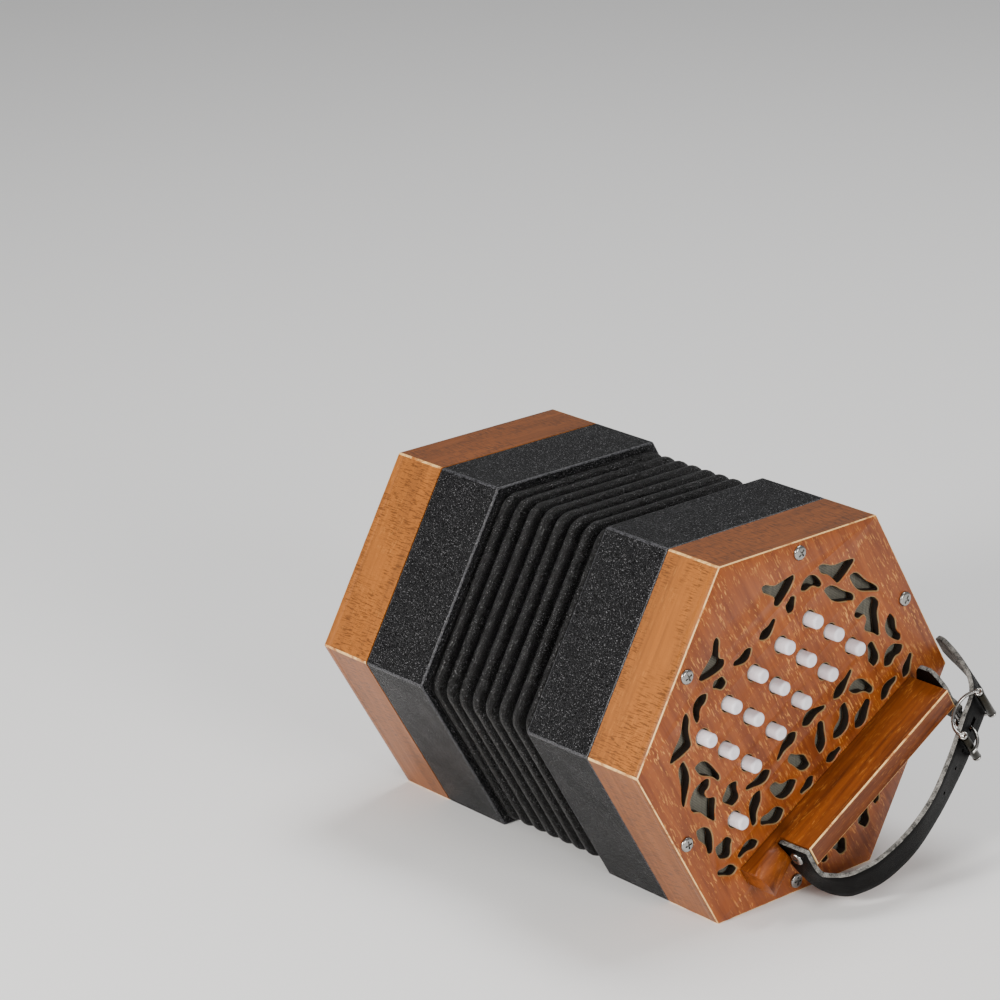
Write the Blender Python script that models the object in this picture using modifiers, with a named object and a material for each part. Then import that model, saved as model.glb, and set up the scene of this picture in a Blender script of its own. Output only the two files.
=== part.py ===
"""Thirty-button hexagonal concertina, lying on one of its flat sides.

X runs along the bellows, +X towards the right-hand end. +Z is up.
The origin is under the middle of the whole object, on the surface it rests on.

Each end is drawn in its own play frame, with its origin on the outer face of the end plate:
x across the button rows, y from the hand rail towards the buttons, z outwards from the plate.
"""
import math

import bmesh
import bpy
from mathutils import Matrix, Vector

MM = 0.001

# Driving dimensions, in metres
ACROSS_FLATS = 0.178
WOOD_END_DEPTH = 0.033
CASING_DEPTH = 0.0425
FOLD_COUNT = 8
FOLD_PITCH = 0.0096
TOUCH_GAP = 0.0003
BODY_OFFSET = 0.00795

CORNER_RADIUS = ACROSS_FLATS / math.sqrt(3)
BODY_HEIGHT = ACROSS_FLATS / 2
HALF_BELLOWS = FOLD_COUNT * FOLD_PITCH / 2
HALF_LENGTH = HALF_BELLOWS + CASING_DEPTH + WOOD_END_DEPTH
PLAY_TILT = math.radians(30)

# Wooden ends and casings
PLATE_THICKNESS = 0.005
FRAME_WALL = 0.006
CASING_WALL = 0.007
BOARD_THICKNESS = 0.005
PAD_HOLES = 16
PAD_HOLE_CIRCLE = 0.064
PAD_HOLE_RADIUS = 0.006
REED_PAN_THICKNESS = 0.012
REED_PAN_DROP = 0.001
REED_SLOTS = 12
REED_SLOT_INNER = (0.030, 0.004)
REED_SLOT_OUTER = (0.072, 0.009)

# Bellows folds: hexagonal rings, measured to their corners
FOLD_INSET = 0.0033
FOLD_DEPTH = 0.0205
FOLD_THICKNESS = 0.0046
FOLD_SHOULDER = 0.003

# Buttons
BUTTON_RADIUS = 0.0035
BUTTON_HEIGHT = 0.0068
BUTTON_SKIRT = 0.012
PEG_RADIUS = 0.0012
PEG_DEPTH = 0.0225
BUTTON_CLEARANCE = 0.0006
BUTTON_EDGE = 0.0010
BUTTON_STEPS = 10
BUTTON_HOLE_STEPS = 12
ROW_PITCH = 0.0198
ROW_ARCH = 0.0031
BUTTON_ROWS = ((-0.0093, 0.0416), (-0.0021, 0.0257), (0.0050, 0.0087))
AIR_BUTTON = (-0.0548, -0.0128)

# Hand rail
RAIL_LEFT = -0.0650
RAIL_RIGHT = 0.0663
RAIL_TOP_SIDE = -0.0375
RAIL_THICKNESS = 0.0113
RAIL_HEIGHT = 0.0253
FOOT_HEIGHT = 0.0180
FOOT_LOW = 0.0110
FOOT_ROUND = 0.0080
SLOT_LEFT = -0.0444
SLOT_RIGHT = -0.0410
SLOT_FLOOR = 0.0055

# Straps and buckle
STRAP_WIDTH = 0.0185
STRAP_THICKNESS = 0.0026
BUCKLE_STRAP_THICKNESS = 0.0022
BUCKLE_SPAN = 0.0240
BUCKLE_HALF_WIDTH = 0.0107
WIRE_RADIUS = 0.0009
ROLLER_RADIUS = 0.0021
ROLLER_OUT = 0.0040
ROLLER_SHORT = 0.0013
BAR_IN = 0.0046
ARM_STEPS = 8
PRONG_RADIUS = 0.0009
PRONG_EYE_RADIUS = 0.0022
PRONG_SLOT = (-0.0042, 0.0034)
PRONG_SLOT_WIDTH = 0.0032
PRONG_SLOT_DEPTH = 0.008
BUCKLE_STATION = 11

# A strap station is its middle (across, up, out) and the lean of its width (across, up, out), in mm.
STRAP_ROUTE = (
    ((-42.7, -38.2, 15.9), (0.0, 0.0, 1.0)),
    ((-42.7, -49.8, 16.4), (0.0, 0.1, 1.0)),
    ((-41.9, -57.7, 18.4), (0.0, 0.4, 0.92)),
    ((-40.3, -63.0, 22.5), (0.08, 0.68, 0.73)),
    ((-36.6, -66.5, 28.8), (0.12, 0.86, 0.5)),
    ((-31.0, -68.0, 33.6), (0.1, 0.93, 0.36)),
    ((-18.3, -70.2, 38.0), (0.0, 0.96, 0.27)),
    ((1.0, -71.0, 39.8), (-0.05, 0.96, 0.27)),
    ((22.0, -69.4, 38.4), (-0.12, 0.94, 0.31)),
    ((42.0, -65.4, 35.4), (-0.2, 0.94, 0.25)),
    ((56.1, -62.5, 32.3), (-0.22, 0.95, 0.18)),
    ((66.9, -60.0, 29.4), (-0.22, 0.95, 0.16)),
    ((77.6, -57.6, 26.5), (-0.22, 0.95, 0.16)),
    ((85.6, -55.6, 20.1), (-0.2, 0.97, 0.1)),
    ((91.6, -54.3, 9.4), (-0.15, 0.98, 0.1)),
    ((96.5, -53.4, -2.6), (-0.1, 0.99, 0.05)),
    ((99.2, -52.4, -12.3), (-0.1, 0.99, 0.0)),
)
BUCKLE_STRAP_ROUTE = (
    ((67.9, -28.5, 13.2), (0.0, 0.0, 1.0)),
    ((67.9, -38.0, 13.2), (0.0, 0.0, 1.0)),
    ((68.0, -46.8, 13.2), (0.0, 0.0, 1.0)),
    ((68.4, -51.4, 14.1), (0.0, 0.38, 0.92)),
    ((69.0, -55.3, 16.7), (-0.05, 0.71, 0.71)),
    ((69.4, -57.9, 20.6), (-0.14, 0.92, 0.38)),
    ((69.1, -58.7, 23.3), (-0.22, 0.95, 0.16)),
)

# Fretwork holes cut in mirrored pairs: middle (across, up), length, width, turn in degrees,
# bend in degrees and taper, for the hole on the right. Sizes in mm.
PAIRED_HOLES = (
    ((9.3, 53.3), 12.6, 4.8, 6, 40, 0.0),
    ((26.4, 53.3), 8.2, 5.6, 40, 20, 0.2),
    ((41.7, 52.6), 15.0, 5.4, -35, -95, -0.1),
    ((67.6, 27.0), 22.6, 5.4, -62, 10, -0.3),
    ((71.4, -7.8), 17.6, 6.2, 88, -70, 0.0),
    ((32.4, -7.6), 16.4, 5.0, 14, 20, -0.2),
    ((10.5, -6.0), 16.2, 5.2, -10, -35, -0.3),
    ((8.4, -19.7), 16.2, 6.6, 62, 25, 0.1),
    ((22.6, -23.4), 18.6, 7.6, 38, 85, 0.1),
    ((41.0, -18.2), 17.6, 6.2, -48, -60, 0.0),
    ((69.8, -32.0), 12.2, 4.8, 38, 12, 0.0),
    ((54.4, -32.2), 13.6, 5.0, 14, -40, -0.1),
    ((34.9, -30.8), 15.2, 7.4, 26, 20, 0.1),
    ((10.2, -34.4), 10.4, 4.6, -6, 10, 0.0),
    ((9.6, -79.6), 10.5, 7.2, 74, 15, 0.3),
    ((21.8, -74.5), 11.0, 5.2, 55, -25, 0.0),
    ((13.0, -61.0), 14.0, 5.8, 20, 45, 0.2),
    ((31.0, -60.5), 14.5, 5.6, -30, -40, 0.2),
    ((46.5, -57.0), 12.0, 5.0, 35, 20, 0.0),
)
# Holes without a partner, in the same terms.
SINGLE_HOLES = (
    ((51.2, 34.4), 22.0, 6.0, -56, 0, 0.0),
    ((-54.6, 21.0), 19.0, 5.4, -64, -45, -0.2),
    ((53.4, -9.0), 13.4, 6.4, 78, 45, 0.1),
    ((-49.8, -0.6), 11.6, 9.8, 70, 10, 0.2),
    ((63.6, -19.4), 14.6, 7.4, 0, -70, 0.0),
    ((-66.6, -20.6), 10.6, 9.8, 30, 10, 0.0),
)
# Bird and sickle, drawn point by point round the outline, in mm from the end's middle.
BIRD_HOLE = (
    (16.6, 74.6), (19.3, 73.6), (22.6, 69.0), (27.8, 67.4), (35.2, 65.2),
    (34.3, 62.6), (27.4, 59.8), (20.2, 58.4), (18.0, 61.2), (20.8, 64.2), (18.6, 68.0), (16.0, 71.8),
)
GULL_HOLE = (
    (49.0, 56.8), (51.8, 55.6), (56.6, 49.6), (63.6, 46.4), (69.8, 42.2),
    (62.0, 40.2), (54.6, 39.6), (53.6, 43.6), (52.2, 48.2), (48.8, 52.6),
)
SICKLE_HOLE = (
    (54.7, 17.2), (57.3, 19.4), (64.1, 20.0), (69.5, 16.6), (71.1, 11.0),
    (67.1, 7.4), (65.3, 1.6), (62.7, -4.6), (60.3, 0.6), (56.1, 6.4), (60.7, 9.6), (60.5, 13.6), (56.5, 14.0),
)
DRAWN_HOLES = (BIRD_HOLE, GULL_HOLE, SICKLE_HOLE)
HOLE_POINTS = 10
FRET_MIDDLE = -0.0015


def clear_scene():
    for obj in list(bpy.data.objects):
        bpy.data.objects.remove(obj, do_unlink=True)


def new_collection(name):
    collection = bpy.data.collections.new(name)
    bpy.context.scene.collection.children.link(collection)
    return collection


def finish(name, color, roughness, metallic=0.0):
    """A plain Principled material."""
    material = bpy.data.materials.new(name)
    material.use_nodes = True
    shader = material.node_tree.nodes["Principled BSDF"]
    shader.inputs["Base Color"].default_value = (*color, 1.0)
    shader.inputs["Roughness"].default_value = roughness
    shader.inputs["Metallic"].default_value = metallic
    return material


def place_object(name, mesh, parent, location=(0, 0, 0), rotation=(0, 0, 0), material=None):
    obj = bpy.data.objects.new(name, mesh)
    PARTS.objects.link(obj)
    obj.parent = parent
    obj.location = location
    obj.rotation_euler = rotation
    if material is not None and not mesh.materials:
        mesh.materials.append(material)
    return obj


def place_empty(name, parent, location, axes=None):
    empty = bpy.data.objects.new(name, None)
    PARTS.objects.link(empty)
    empty.parent = parent
    empty.location = location
    if axes is not None:
        empty.rotation_euler = Matrix(axes).transposed().to_euler()
    return empty


def solid_from_curve(curve):
    """The closed mesh of a curve, with its caps joined to its sides."""
    holder = bpy.data.objects.new("curve_holder", curve)
    bpy.context.scene.collection.objects.link(holder)
    bpy.context.view_layer.update()
    depsgraph = bpy.context.evaluated_depsgraph_get()
    mesh = bpy.data.meshes.new_from_object(holder.evaluated_get(depsgraph))
    bpy.data.objects.remove(holder, do_unlink=True)
    shape = bmesh.new()
    shape.from_mesh(mesh)
    bmesh.ops.remove_doubles(shape, verts=shape.verts, dist=1e-6)
    bmesh.ops.recalc_face_normals(shape, faces=shape.faces)
    shape.to_mesh(mesh)
    shape.free()
    return mesh


def outline_mesh(name, loops, thickness):
    """A flat plate with the first loop as its edge and the others as holes."""
    curve = bpy.data.curves.new(name, "CURVE")
    curve.dimensions = "2D"
    curve.fill_mode = "BOTH"
    curve.extrude = thickness / 2
    for loop in loops:
        spline = curve.splines.new("POLY")
        spline.points.add(len(loop) - 1)
        for point, (x, y) in zip(spline.points, loop):
            point.co = (x, y, 0.0, 1.0)
        spline.use_cyclic_u = True
    return solid_from_curve(curve)


def wire_mesh(name, points, radius, cyclic=False, resolution=1):
    """A round wire through points."""
    curve = bpy.data.curves.new(name, "CURVE")
    curve.dimensions = "3D"
    curve.bevel_depth = radius
    curve.bevel_resolution = resolution
    curve.use_fill_caps = True
    spline = curve.splines.new("POLY")
    spline.points.add(len(points) - 1)
    for point, position in zip(spline.points, points):
        point.co = (*position, 1.0)
    spline.use_cyclic_u = cyclic
    return solid_from_curve(curve)


def profile_mesh(name, profile, closed):
    """The line that a Screw modifier turns: radius and height of each point."""
    count = len(profile)
    edges = [(index, index + 1) for index in range(count - 1)]
    if closed:
        edges.append((count - 1, 0))
    mesh = bpy.data.meshes.new(name)
    mesh.from_pydata([(radius, 0.0, height) for radius, height in profile], edges, [])
    return mesh


def turn(obj, steps):
    screw = obj.modifiers.new("turn", "SCREW")
    screw.steps = steps
    screw.render_steps = steps
    screw.use_merge_vertices = True
    screw.merge_threshold = 0.00001


def hexagon_ring(name, outer, inner, low, high, parent, material, rotation=(0, 0, 0)):
    """A six-sided ring; outer and inner are its corner radii."""
    profile = [(outer, high), (outer, low), (inner, low), (inner, high)]
    ring = place_object(name, profile_mesh(name, profile, True), parent, rotation=rotation, material=material)
    turn(ring, 6)
    return ring


def hexagon_loop(radius):
    angles = [PLAY_TILT + math.radians(60 * index) for index in range(6)]
    return [(radius * math.cos(angle), radius * math.sin(angle)) for angle in angles]


def circle_loop(x, y, radius, count):
    angles = [math.tau * (index + 0.5) / count for index in range(count)]
    return [(x + radius * math.cos(angle), y + radius * math.sin(angle)) for angle in angles]


def bean_loop(middle, length, width, turn_deg, bend_deg, taper):
    """A bean: an ellipse bent along an arc, fuller at one end by the taper."""
    loop = []
    bend = math.radians(bend_deg)
    heading = math.radians(turn_deg)
    for index in range(HOLE_POINTS):
        angle = math.tau * (index + 0.5) / HOLE_POINTS
        along = 0.5 * length * math.cos(angle)
        across = 0.5 * width * math.sin(angle) * (1 + taper * math.cos(angle))
        if bend_deg:
            radius = length / bend
            x = (radius - across) * math.sin(along / radius)
            y = radius - (radius - across) * math.cos(along / radius) - 0.12 * length * math.tan(bend / 4)
        else:
            x, y = along, across
        loop.append((
            (middle[0] + x * math.cos(heading) - y * math.sin(heading)) * MM,
            (middle[1] + x * math.sin(heading) + y * math.cos(heading)) * MM,
        ))
    return loop


def mirrored_pair(loop):
    """The loop and its mirror image, either side of the fretwork's middle line."""
    right = [(FRET_MIDDLE + x, y) for x, y in loop]
    left = [(FRET_MIDDLE - x, y) for x, y in reversed(loop)]
    return [right, left]


def button_places(with_air):
    """Where the buttons stand: three rows of five on a shallow arch."""
    places = []
    for row_middle, row_up in BUTTON_ROWS:
        for index in (-2, -1, 0, 1, 2):
            across = row_middle + index * ROW_PITCH
            drop = ROW_ARCH * (index / 2) ** 2
            places.append((across, row_up - drop))
    if with_air:
        places.append(AIR_BUTTON)
    return places


def fret_loops():
    """Every fretwork hole of an end plate."""
    loops = []
    for hole in PAIRED_HOLES:
        loops += mirrored_pair(bean_loop(*hole))
    for hole in SINGLE_HOLES:
        loops.append(bean_loop(*hole))
    for drawing in DRAWN_HOLES:
        loops += mirrored_pair([(x * MM, y * MM) for x, y in drawing])
    return loops


def play_frame(name, side):
    """The empty that carries one end, turned to its play frame."""
    across = Vector((0.0, side * math.cos(PLAY_TILT), side * math.sin(PLAY_TILT)))
    up = Vector((0.0, -math.sin(PLAY_TILT), math.cos(PLAY_TILT)))
    out = Vector((side, 0.0, 0.0))
    return place_empty(name, None, (side * HALF_LENGTH, -BODY_OFFSET, BODY_HEIGHT), (across, up, out))


def end_plate(hand, side, frame):
    holes = [[(side * x, y) for x, y in loop] for loop in fret_loops()]
    for x, y in button_places(hand == "right"):
        holes.append(circle_loop(side * x, y, BUTTON_RADIUS + BUTTON_CLEARANCE, BUTTON_HOLE_STEPS))
    mesh = outline_mesh(hand + "_end_plate", [hexagon_loop(CORNER_RADIUS)] + holes, PLATE_THICKNESS)
    place_object(hand + "_end_plate", mesh, frame, (0, 0, -PLATE_THICKNESS / 2), material=WOOD)


def wooden_frame(hand, frame):
    """The six-sided wooden wall and the action board inside it, which carries the pads."""
    inner = CORNER_RADIUS - FRAME_WALL / math.cos(PLAY_TILT)
    hexagon_ring(hand + "_end_frame", CORNER_RADIUS, inner, -WOOD_END_DEPTH,
                 -PLATE_THICKNESS - TOUCH_GAP, frame, WOOD, (0, 0, PLAY_TILT))
    loops = [hexagon_loop(inner - 2 * TOUCH_GAP)]
    for index in range(PAD_HOLES):
        angle = math.tau * index / PAD_HOLES
        x, y = PAD_HOLE_CIRCLE * math.cos(angle), PAD_HOLE_CIRCLE * math.sin(angle)
        loops.append(circle_loop(x, y, PAD_HOLE_RADIUS, 8))
    board = outline_mesh(hand + "_action_board", loops, BOARD_THICKNESS)
    middle = -WOOD_END_DEPTH + TOUCH_GAP + BOARD_THICKNESS / 2
    place_object(hand + "_action_board", board, frame, (0, 0, middle), material=BOARD)


def reed_slot(angle):
    """A radial chamber that narrows towards the middle."""
    near, near_half = REED_SLOT_INNER
    far, far_half = REED_SLOT_OUTER
    corners = ((near, -near_half), (far, -far_half), (far, far_half), (near, near_half))
    cosine = math.cos(angle)
    sine = math.sin(angle)
    return [(x * cosine - y * sine, x * sine + y * cosine) for x, y in corners]


def bellows_casing(hand, frame):
    """The black casing at the bellows' end, and the reed pan inside it."""
    inner = CORNER_RADIUS - CASING_WALL / math.cos(PLAY_TILT)
    high = -WOOD_END_DEPTH - TOUCH_GAP
    hexagon_ring(hand + "_bellows_casing", CORNER_RADIUS, inner, -WOOD_END_DEPTH - CASING_DEPTH,
                 high, frame, LEATHERETTE, (0, 0, PLAY_TILT))
    slots = [reed_slot(math.tau * index / REED_SLOTS) for index in range(REED_SLOTS)]
    loops = [hexagon_loop(inner - 2 * TOUCH_GAP)] + slots
    pan = outline_mesh(hand + "_reed_pan", loops, REED_PAN_THICKNESS)
    middle = high - REED_PAN_DROP - REED_PAN_THICKNESS / 2
    place_object(hand + "_reed_pan", pan, frame, (0, 0, middle), material=BOARD)


def buttons(hand, side, frame):
    """Turned buttons, each with a thin guide peg below its skirt."""
    profile = [
        (0.0, BUTTON_HEIGHT),
        (BUTTON_RADIUS - BUTTON_EDGE, BUTTON_HEIGHT - 0.1 * BUTTON_EDGE),
        (BUTTON_RADIUS, BUTTON_HEIGHT - BUTTON_EDGE),
        (BUTTON_RADIUS, -BUTTON_SKIRT),
        (PEG_RADIUS, -BUTTON_SKIRT),
        (PEG_RADIUS, -PEG_DEPTH),
        (0.0, -PEG_DEPTH),
    ]
    mesh = profile_mesh(hand + "_button", profile, False)
    for index, (x, y) in enumerate(button_places(hand == "right")):
        name = f"{hand}_button_{index + 1}" if index < 15 else f"{hand}_air_button"
        turn(place_object(name, mesh, frame, (side * x, y, 0), material=PEARL), BUTTON_STEPS)


def hand_rail(hand, side, frame):
    """A straight bar with a lower rounded foot and a slot for the strap's end."""
    outline = [
        (RAIL_LEFT, TOUCH_GAP), (RAIL_RIGHT, TOUCH_GAP), (RAIL_RIGHT, RAIL_HEIGHT),
        (SLOT_RIGHT, RAIL_HEIGHT), (SLOT_RIGHT, SLOT_FLOOR), (SLOT_LEFT, SLOT_FLOOR),
        (SLOT_LEFT, FOOT_LOW), (RAIL_LEFT, FOOT_HEIGHT),
    ]
    mesh = outline_mesh(hand + "_hand_rail", [[(side * x, y) for x, y in outline]], RAIL_THICKNESS)
    shape = bmesh.new()
    shape.from_mesh(mesh)
    round_edge = [edge for edge in shape.edges
                  if all(abs(v.co.x) > abs(SLOT_LEFT) - TOUCH_GAP and v.co.x * side < 0
                         and v.co.y > FOOT_LOW - TOUCH_GAP and v.co.z < 0 for v in edge.verts)]
    bmesh.ops.bevel(shape, geom=round_edge, offset=FOOT_ROUND, segments=4, profile=0.5, affect="EDGES")
    shape.to_mesh(mesh)
    shape.free()
    middle = RAIL_TOP_SIDE - RAIL_THICKNESS / 2
    place_object(hand + "_hand_rail", mesh, frame, (0, middle, 0), (math.pi / 2, 0, 0), WOOD)


def smooth_point(stations, index, part, kind):
    """A point of the smooth curve through the stations, part of the way from index to index + 1."""
    last = len(stations) - 1
    a, b, c, d = (Vector(stations[min(max(index + step, 0), last)][kind]) for step in (-1, 0, 1, 2))
    return b + 0.5 * part * (c - a + part * (2 * a - 5 * b + 4 * c - d + part * (3 * (b - c) + d - a)))


def ribbon_sections(stations, side, steps):
    """The middle and the width direction at each section along a strap, in metres."""
    samples = []
    for index in range(len(stations) - 1):
        for step in range(steps):
            samples.append([smooth_point(stations, index, step / steps, kind) for kind in (0, 1)])
    samples.append([Vector(stations[-1][0]), Vector(stations[-1][1])])
    sections = []
    for index, (middle, lean) in enumerate(samples):
        before = samples[max(index - 1, 0)][0]
        after = samples[min(index + 1, len(samples) - 1)][0]
        run = (after - before).normalized()
        width = (lean - lean.dot(run) * run).normalized()
        flip = Vector((side, 1, 1))
        sections.append((middle * flip * MM, width * flip))
    return sections


def ribbon(name, stations, side, frame, thickness):
    """A leather strap: an open strip between its two edges, given its thickness by Solidify."""
    sections = ribbon_sections(stations, side, 2)
    shape = bmesh.new()
    edges = []
    for middle, width in sections:
        edges.append([shape.verts.new(middle + width * STRAP_WIDTH * part) for part in (-0.5, 0.0, 0.5)])
    for near, far in zip(edges, edges[1:]):
        for index in (0, 1):
            shape.faces.new((near[index], far[index], far[index + 1], near[index + 1]))
    mesh = bpy.data.meshes.new(name)
    shape.to_mesh(mesh)
    shape.free()
    strap = place_object(name, mesh, frame, material=LEATHER)
    solidify = strap.modifiers.new("thickness", "SOLIDIFY")
    solidify.thickness = thickness
    solidify.offset = 0.0
    solidify.use_even_offset = True
    return strap


def buckle_axes(hand, side, frame):
    """The buckle's own frame: x along the strap, y across it, z outwards, from the strap's middle."""
    stations = [Vector(STRAP_ROUTE[BUCKLE_STATION + step][0]) * MM for step in (-1, 0, 1)]
    along = (stations[2] - stations[0]).normalized()
    lean = Vector(STRAP_ROUTE[BUCKLE_STATION][1])
    across = (lean - lean.dot(along) * along).normalized()
    flip = Vector((side, 1, 1))
    along, across = along * flip * side, across * flip
    return place_empty(hand + "_buckle_axes", frame, stations[1] * flip, (along, across, along.cross(across)))


def round_bar(name, radius, half_length, sides, x, z):
    """A cylinder across the strap, as a mesh in the buckle's frame."""
    mesh = bpy.data.meshes.new(name)
    shape = bmesh.new()
    turn_over = Matrix.Translation((x, 0, z)) @ Matrix.Rotation(math.pi / 2, 4, "X")
    bmesh.ops.create_cone(shape, cap_ends=True, segments=sides, radius1=radius, radius2=radius,
                          depth=2 * half_length, matrix=turn_over)
    shape.to_mesh(mesh)
    shape.free()
    return mesh


def combine(obj, mesh, operation, parent):
    """Join a mesh to an object, or cut it out, with a Boolean. The mesh stands in the parent's frame."""
    tool = bpy.data.objects.new(obj.name + "_tool_" + str(len(obj.modifiers)), mesh)
    CUTTERS.objects.link(tool)
    tool.parent = parent
    tool.hide_render = True
    tool.display_type = "WIRE"
    boolean = obj.modifiers.new("join", "BOOLEAN")
    boolean.operation = operation
    boolean.object = tool


def buckle(hand, side, axes):
    """A bowed wire frame with two rollers outside the strap and a middle bar inside it."""
    roller_x = BUCKLE_SPAN / 2
    arm = []
    for index in range(ARM_STEPS + 1):
        angle = math.pi * index / ARM_STEPS
        arm.append((roller_x * math.cos(angle), ROLLER_OUT - (ROLLER_OUT + BAR_IN) * math.sin(angle)))
    loop = [(x, -BUCKLE_HALF_WIDTH, z) for x, z in arm]
    loop += [(x, BUCKLE_HALF_WIDTH, z) for x, z in reversed(arm)]
    wire = wire_mesh(hand + "_buckle_wire", loop, WIRE_RADIUS, cyclic=True)
    frame = place_object(hand + "_buckle", wire, axes, material=METAL)
    for x in (-roller_x, roller_x):
        roller = round_bar(hand + "_roller", ROLLER_RADIUS, BUCKLE_HALF_WIDTH - ROLLER_SHORT, 12,
                           side * x, ROLLER_OUT)
        combine(frame, roller, "UNION", axes)
    bar = round_bar(hand + "_bar", WIRE_RADIUS, BUCKLE_HALF_WIDTH, 8, 0, -BAR_IN)
    combine(frame, bar, "UNION", axes)


def buckle_prong(hand, side, axes):
    """The prong: an eye round the middle bar and a stem that reaches over the far roller."""
    hinge = place_empty(hand + "_prong_hinge", axes, (0, 0, -BAR_IN))
    tip = -side * BUCKLE_SPAN / 2
    rise = ROLLER_OUT + BAR_IN + ROLLER_RADIUS + PRONG_RADIUS + TOUCH_GAP
    stem_points = [
        (0, PRONG_EYE_RADIUS), (0.10 * tip, 0.40 * rise), (0.32 * tip, 0.71 * rise), (0.66 * tip, 0.94 * rise),
        (tip, rise), (1.25 * tip, 0.92 * rise),
    ]
    stem = wire_mesh(hand + "_prong_stem", [(x, 0, z) for x, z in stem_points], PRONG_RADIUS)
    prong = place_object(hand + "_buckle_prong", stem, hinge, material=METAL)
    eye_points = [(x, 0, z) for x, z in circle_loop(0, 0, PRONG_EYE_RADIUS, 10)]
    eye = wire_mesh(hand + "_prong_eye", eye_points, PRONG_RADIUS, cyclic=True)
    combine(prong, eye, "UNION", hinge)


def cut_prong_slot(strap, side, axes):
    """The slot in the strap that the prong comes out through."""
    low, high = PRONG_SLOT
    mesh = bpy.data.meshes.new(strap.name + "_slot")
    shape = bmesh.new()
    bmesh.ops.create_cube(shape, size=1.0)
    bmesh.ops.scale(shape, vec=(high - low, PRONG_SLOT_WIDTH, PRONG_SLOT_DEPTH), verts=shape.verts)
    bmesh.ops.translate(shape, vec=(side * (low + high) / 2, 0, 0), verts=shape.verts)
    shape.to_mesh(mesh)
    shape.free()
    combine(strap, mesh, "DIFFERENCE", axes)


def build_end(hand, side):
    """One end: side is 1 for the right-hand end and -1 for the left-hand end."""
    frame = play_frame(hand + "_end_play_frame", side)
    end_plate(hand, side, frame)
    wooden_frame(hand, frame)
    bellows_casing(hand, frame)
    buttons(hand, side, frame)
    hand_rail(hand, side, frame)
    strap = ribbon(hand + "_hand_strap", STRAP_ROUTE, side, frame, STRAP_THICKNESS)
    ribbon(hand + "_buckle_strap", BUCKLE_STRAP_ROUTE, side, frame, BUCKLE_STRAP_THICKNESS)
    axes = buckle_axes(hand, side, frame)
    buckle(hand, side, axes)
    buckle_prong(hand, side, axes)
    cut_prong_slot(strap, side, axes)


def bellows_folds():
    """Eight pleats, each a hexagonal ring with a narrow ridge outside."""
    ridge = CORNER_RADIUS - FOLD_INSET
    half = FOLD_THICKNESS / 2
    profile = [
        (ridge - FOLD_SHOULDER, half), (ridge, half / 4), (ridge, -half / 4), (ridge - FOLD_SHOULDER, -half),
        (ridge - FOLD_DEPTH, -half), (ridge - FOLD_DEPTH, half),
    ]
    mesh = profile_mesh("bellows_fold", profile, True)
    for index in range(FOLD_COUNT):
        x = -HALF_BELLOWS + (index + 0.5) * FOLD_PITCH
        turned = (math.pi / 2, 0, math.pi / 2)
        fold = place_object(f"bellows_fold_{index + 1}", mesh, None, (x, -BODY_OFFSET, BODY_HEIGHT),
                            turned, LEATHER)
        turn(fold, 6)


clear_scene()
PARTS = new_collection("concertina")
CUTTERS = new_collection("cutters")
WOOD = finish("stained_wood", (0.46, 0.17, 0.05), 0.45)
BOARD = finish("pale_wood", (0.62, 0.45, 0.26), 0.6)
LEATHERETTE = finish("black_leatherette", (0.017, 0.017, 0.019), 0.5)
LEATHER = finish("black_leather", (0.012, 0.011, 0.011), 0.45)
PEARL = finish("white_pearl", (0.78, 0.75, 0.79), 0.2)
METAL = finish("dark_nickel", (0.28, 0.26, 0.21), 0.3, 1.0)

build_end("right", 1)
build_end("left", -1)
bellows_folds()
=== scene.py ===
"""Concertina: the finished look of a thirty-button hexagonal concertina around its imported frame.

Each end is drawn once, for the right hand, in the end's play frame: x across the button rows, y from
the hand rail towards the buttons and z outwards from the end plate. The left end is its mirror image.
"""
import math

import bmesh
import bpy
from mathutils import Matrix, Vector


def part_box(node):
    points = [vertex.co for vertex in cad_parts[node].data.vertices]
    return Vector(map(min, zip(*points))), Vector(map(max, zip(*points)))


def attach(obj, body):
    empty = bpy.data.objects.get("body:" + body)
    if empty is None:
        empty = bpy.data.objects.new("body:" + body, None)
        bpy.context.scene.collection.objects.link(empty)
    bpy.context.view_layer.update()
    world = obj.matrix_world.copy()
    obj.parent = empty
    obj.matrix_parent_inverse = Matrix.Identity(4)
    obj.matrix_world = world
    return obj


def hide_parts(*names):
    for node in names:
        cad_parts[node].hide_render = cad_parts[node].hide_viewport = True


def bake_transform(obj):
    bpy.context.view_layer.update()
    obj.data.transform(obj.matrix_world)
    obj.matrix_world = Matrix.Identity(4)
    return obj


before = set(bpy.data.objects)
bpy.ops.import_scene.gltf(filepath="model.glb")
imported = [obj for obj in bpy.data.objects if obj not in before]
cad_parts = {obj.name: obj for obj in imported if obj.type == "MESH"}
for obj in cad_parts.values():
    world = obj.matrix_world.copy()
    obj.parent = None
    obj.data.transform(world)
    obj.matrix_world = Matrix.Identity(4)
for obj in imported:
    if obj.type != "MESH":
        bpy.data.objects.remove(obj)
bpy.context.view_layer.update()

bl_info = {
    "name": "Concertina",
    "version": (1, 0, 0),
    "blender": (4, 5, 0),
    "location": "3D View > Sidebar > Concertina",
    "description": "Builds the wood, leather, pearl and metal of a hexagonal concertina",
    "category": "Add Mesh",
}

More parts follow.
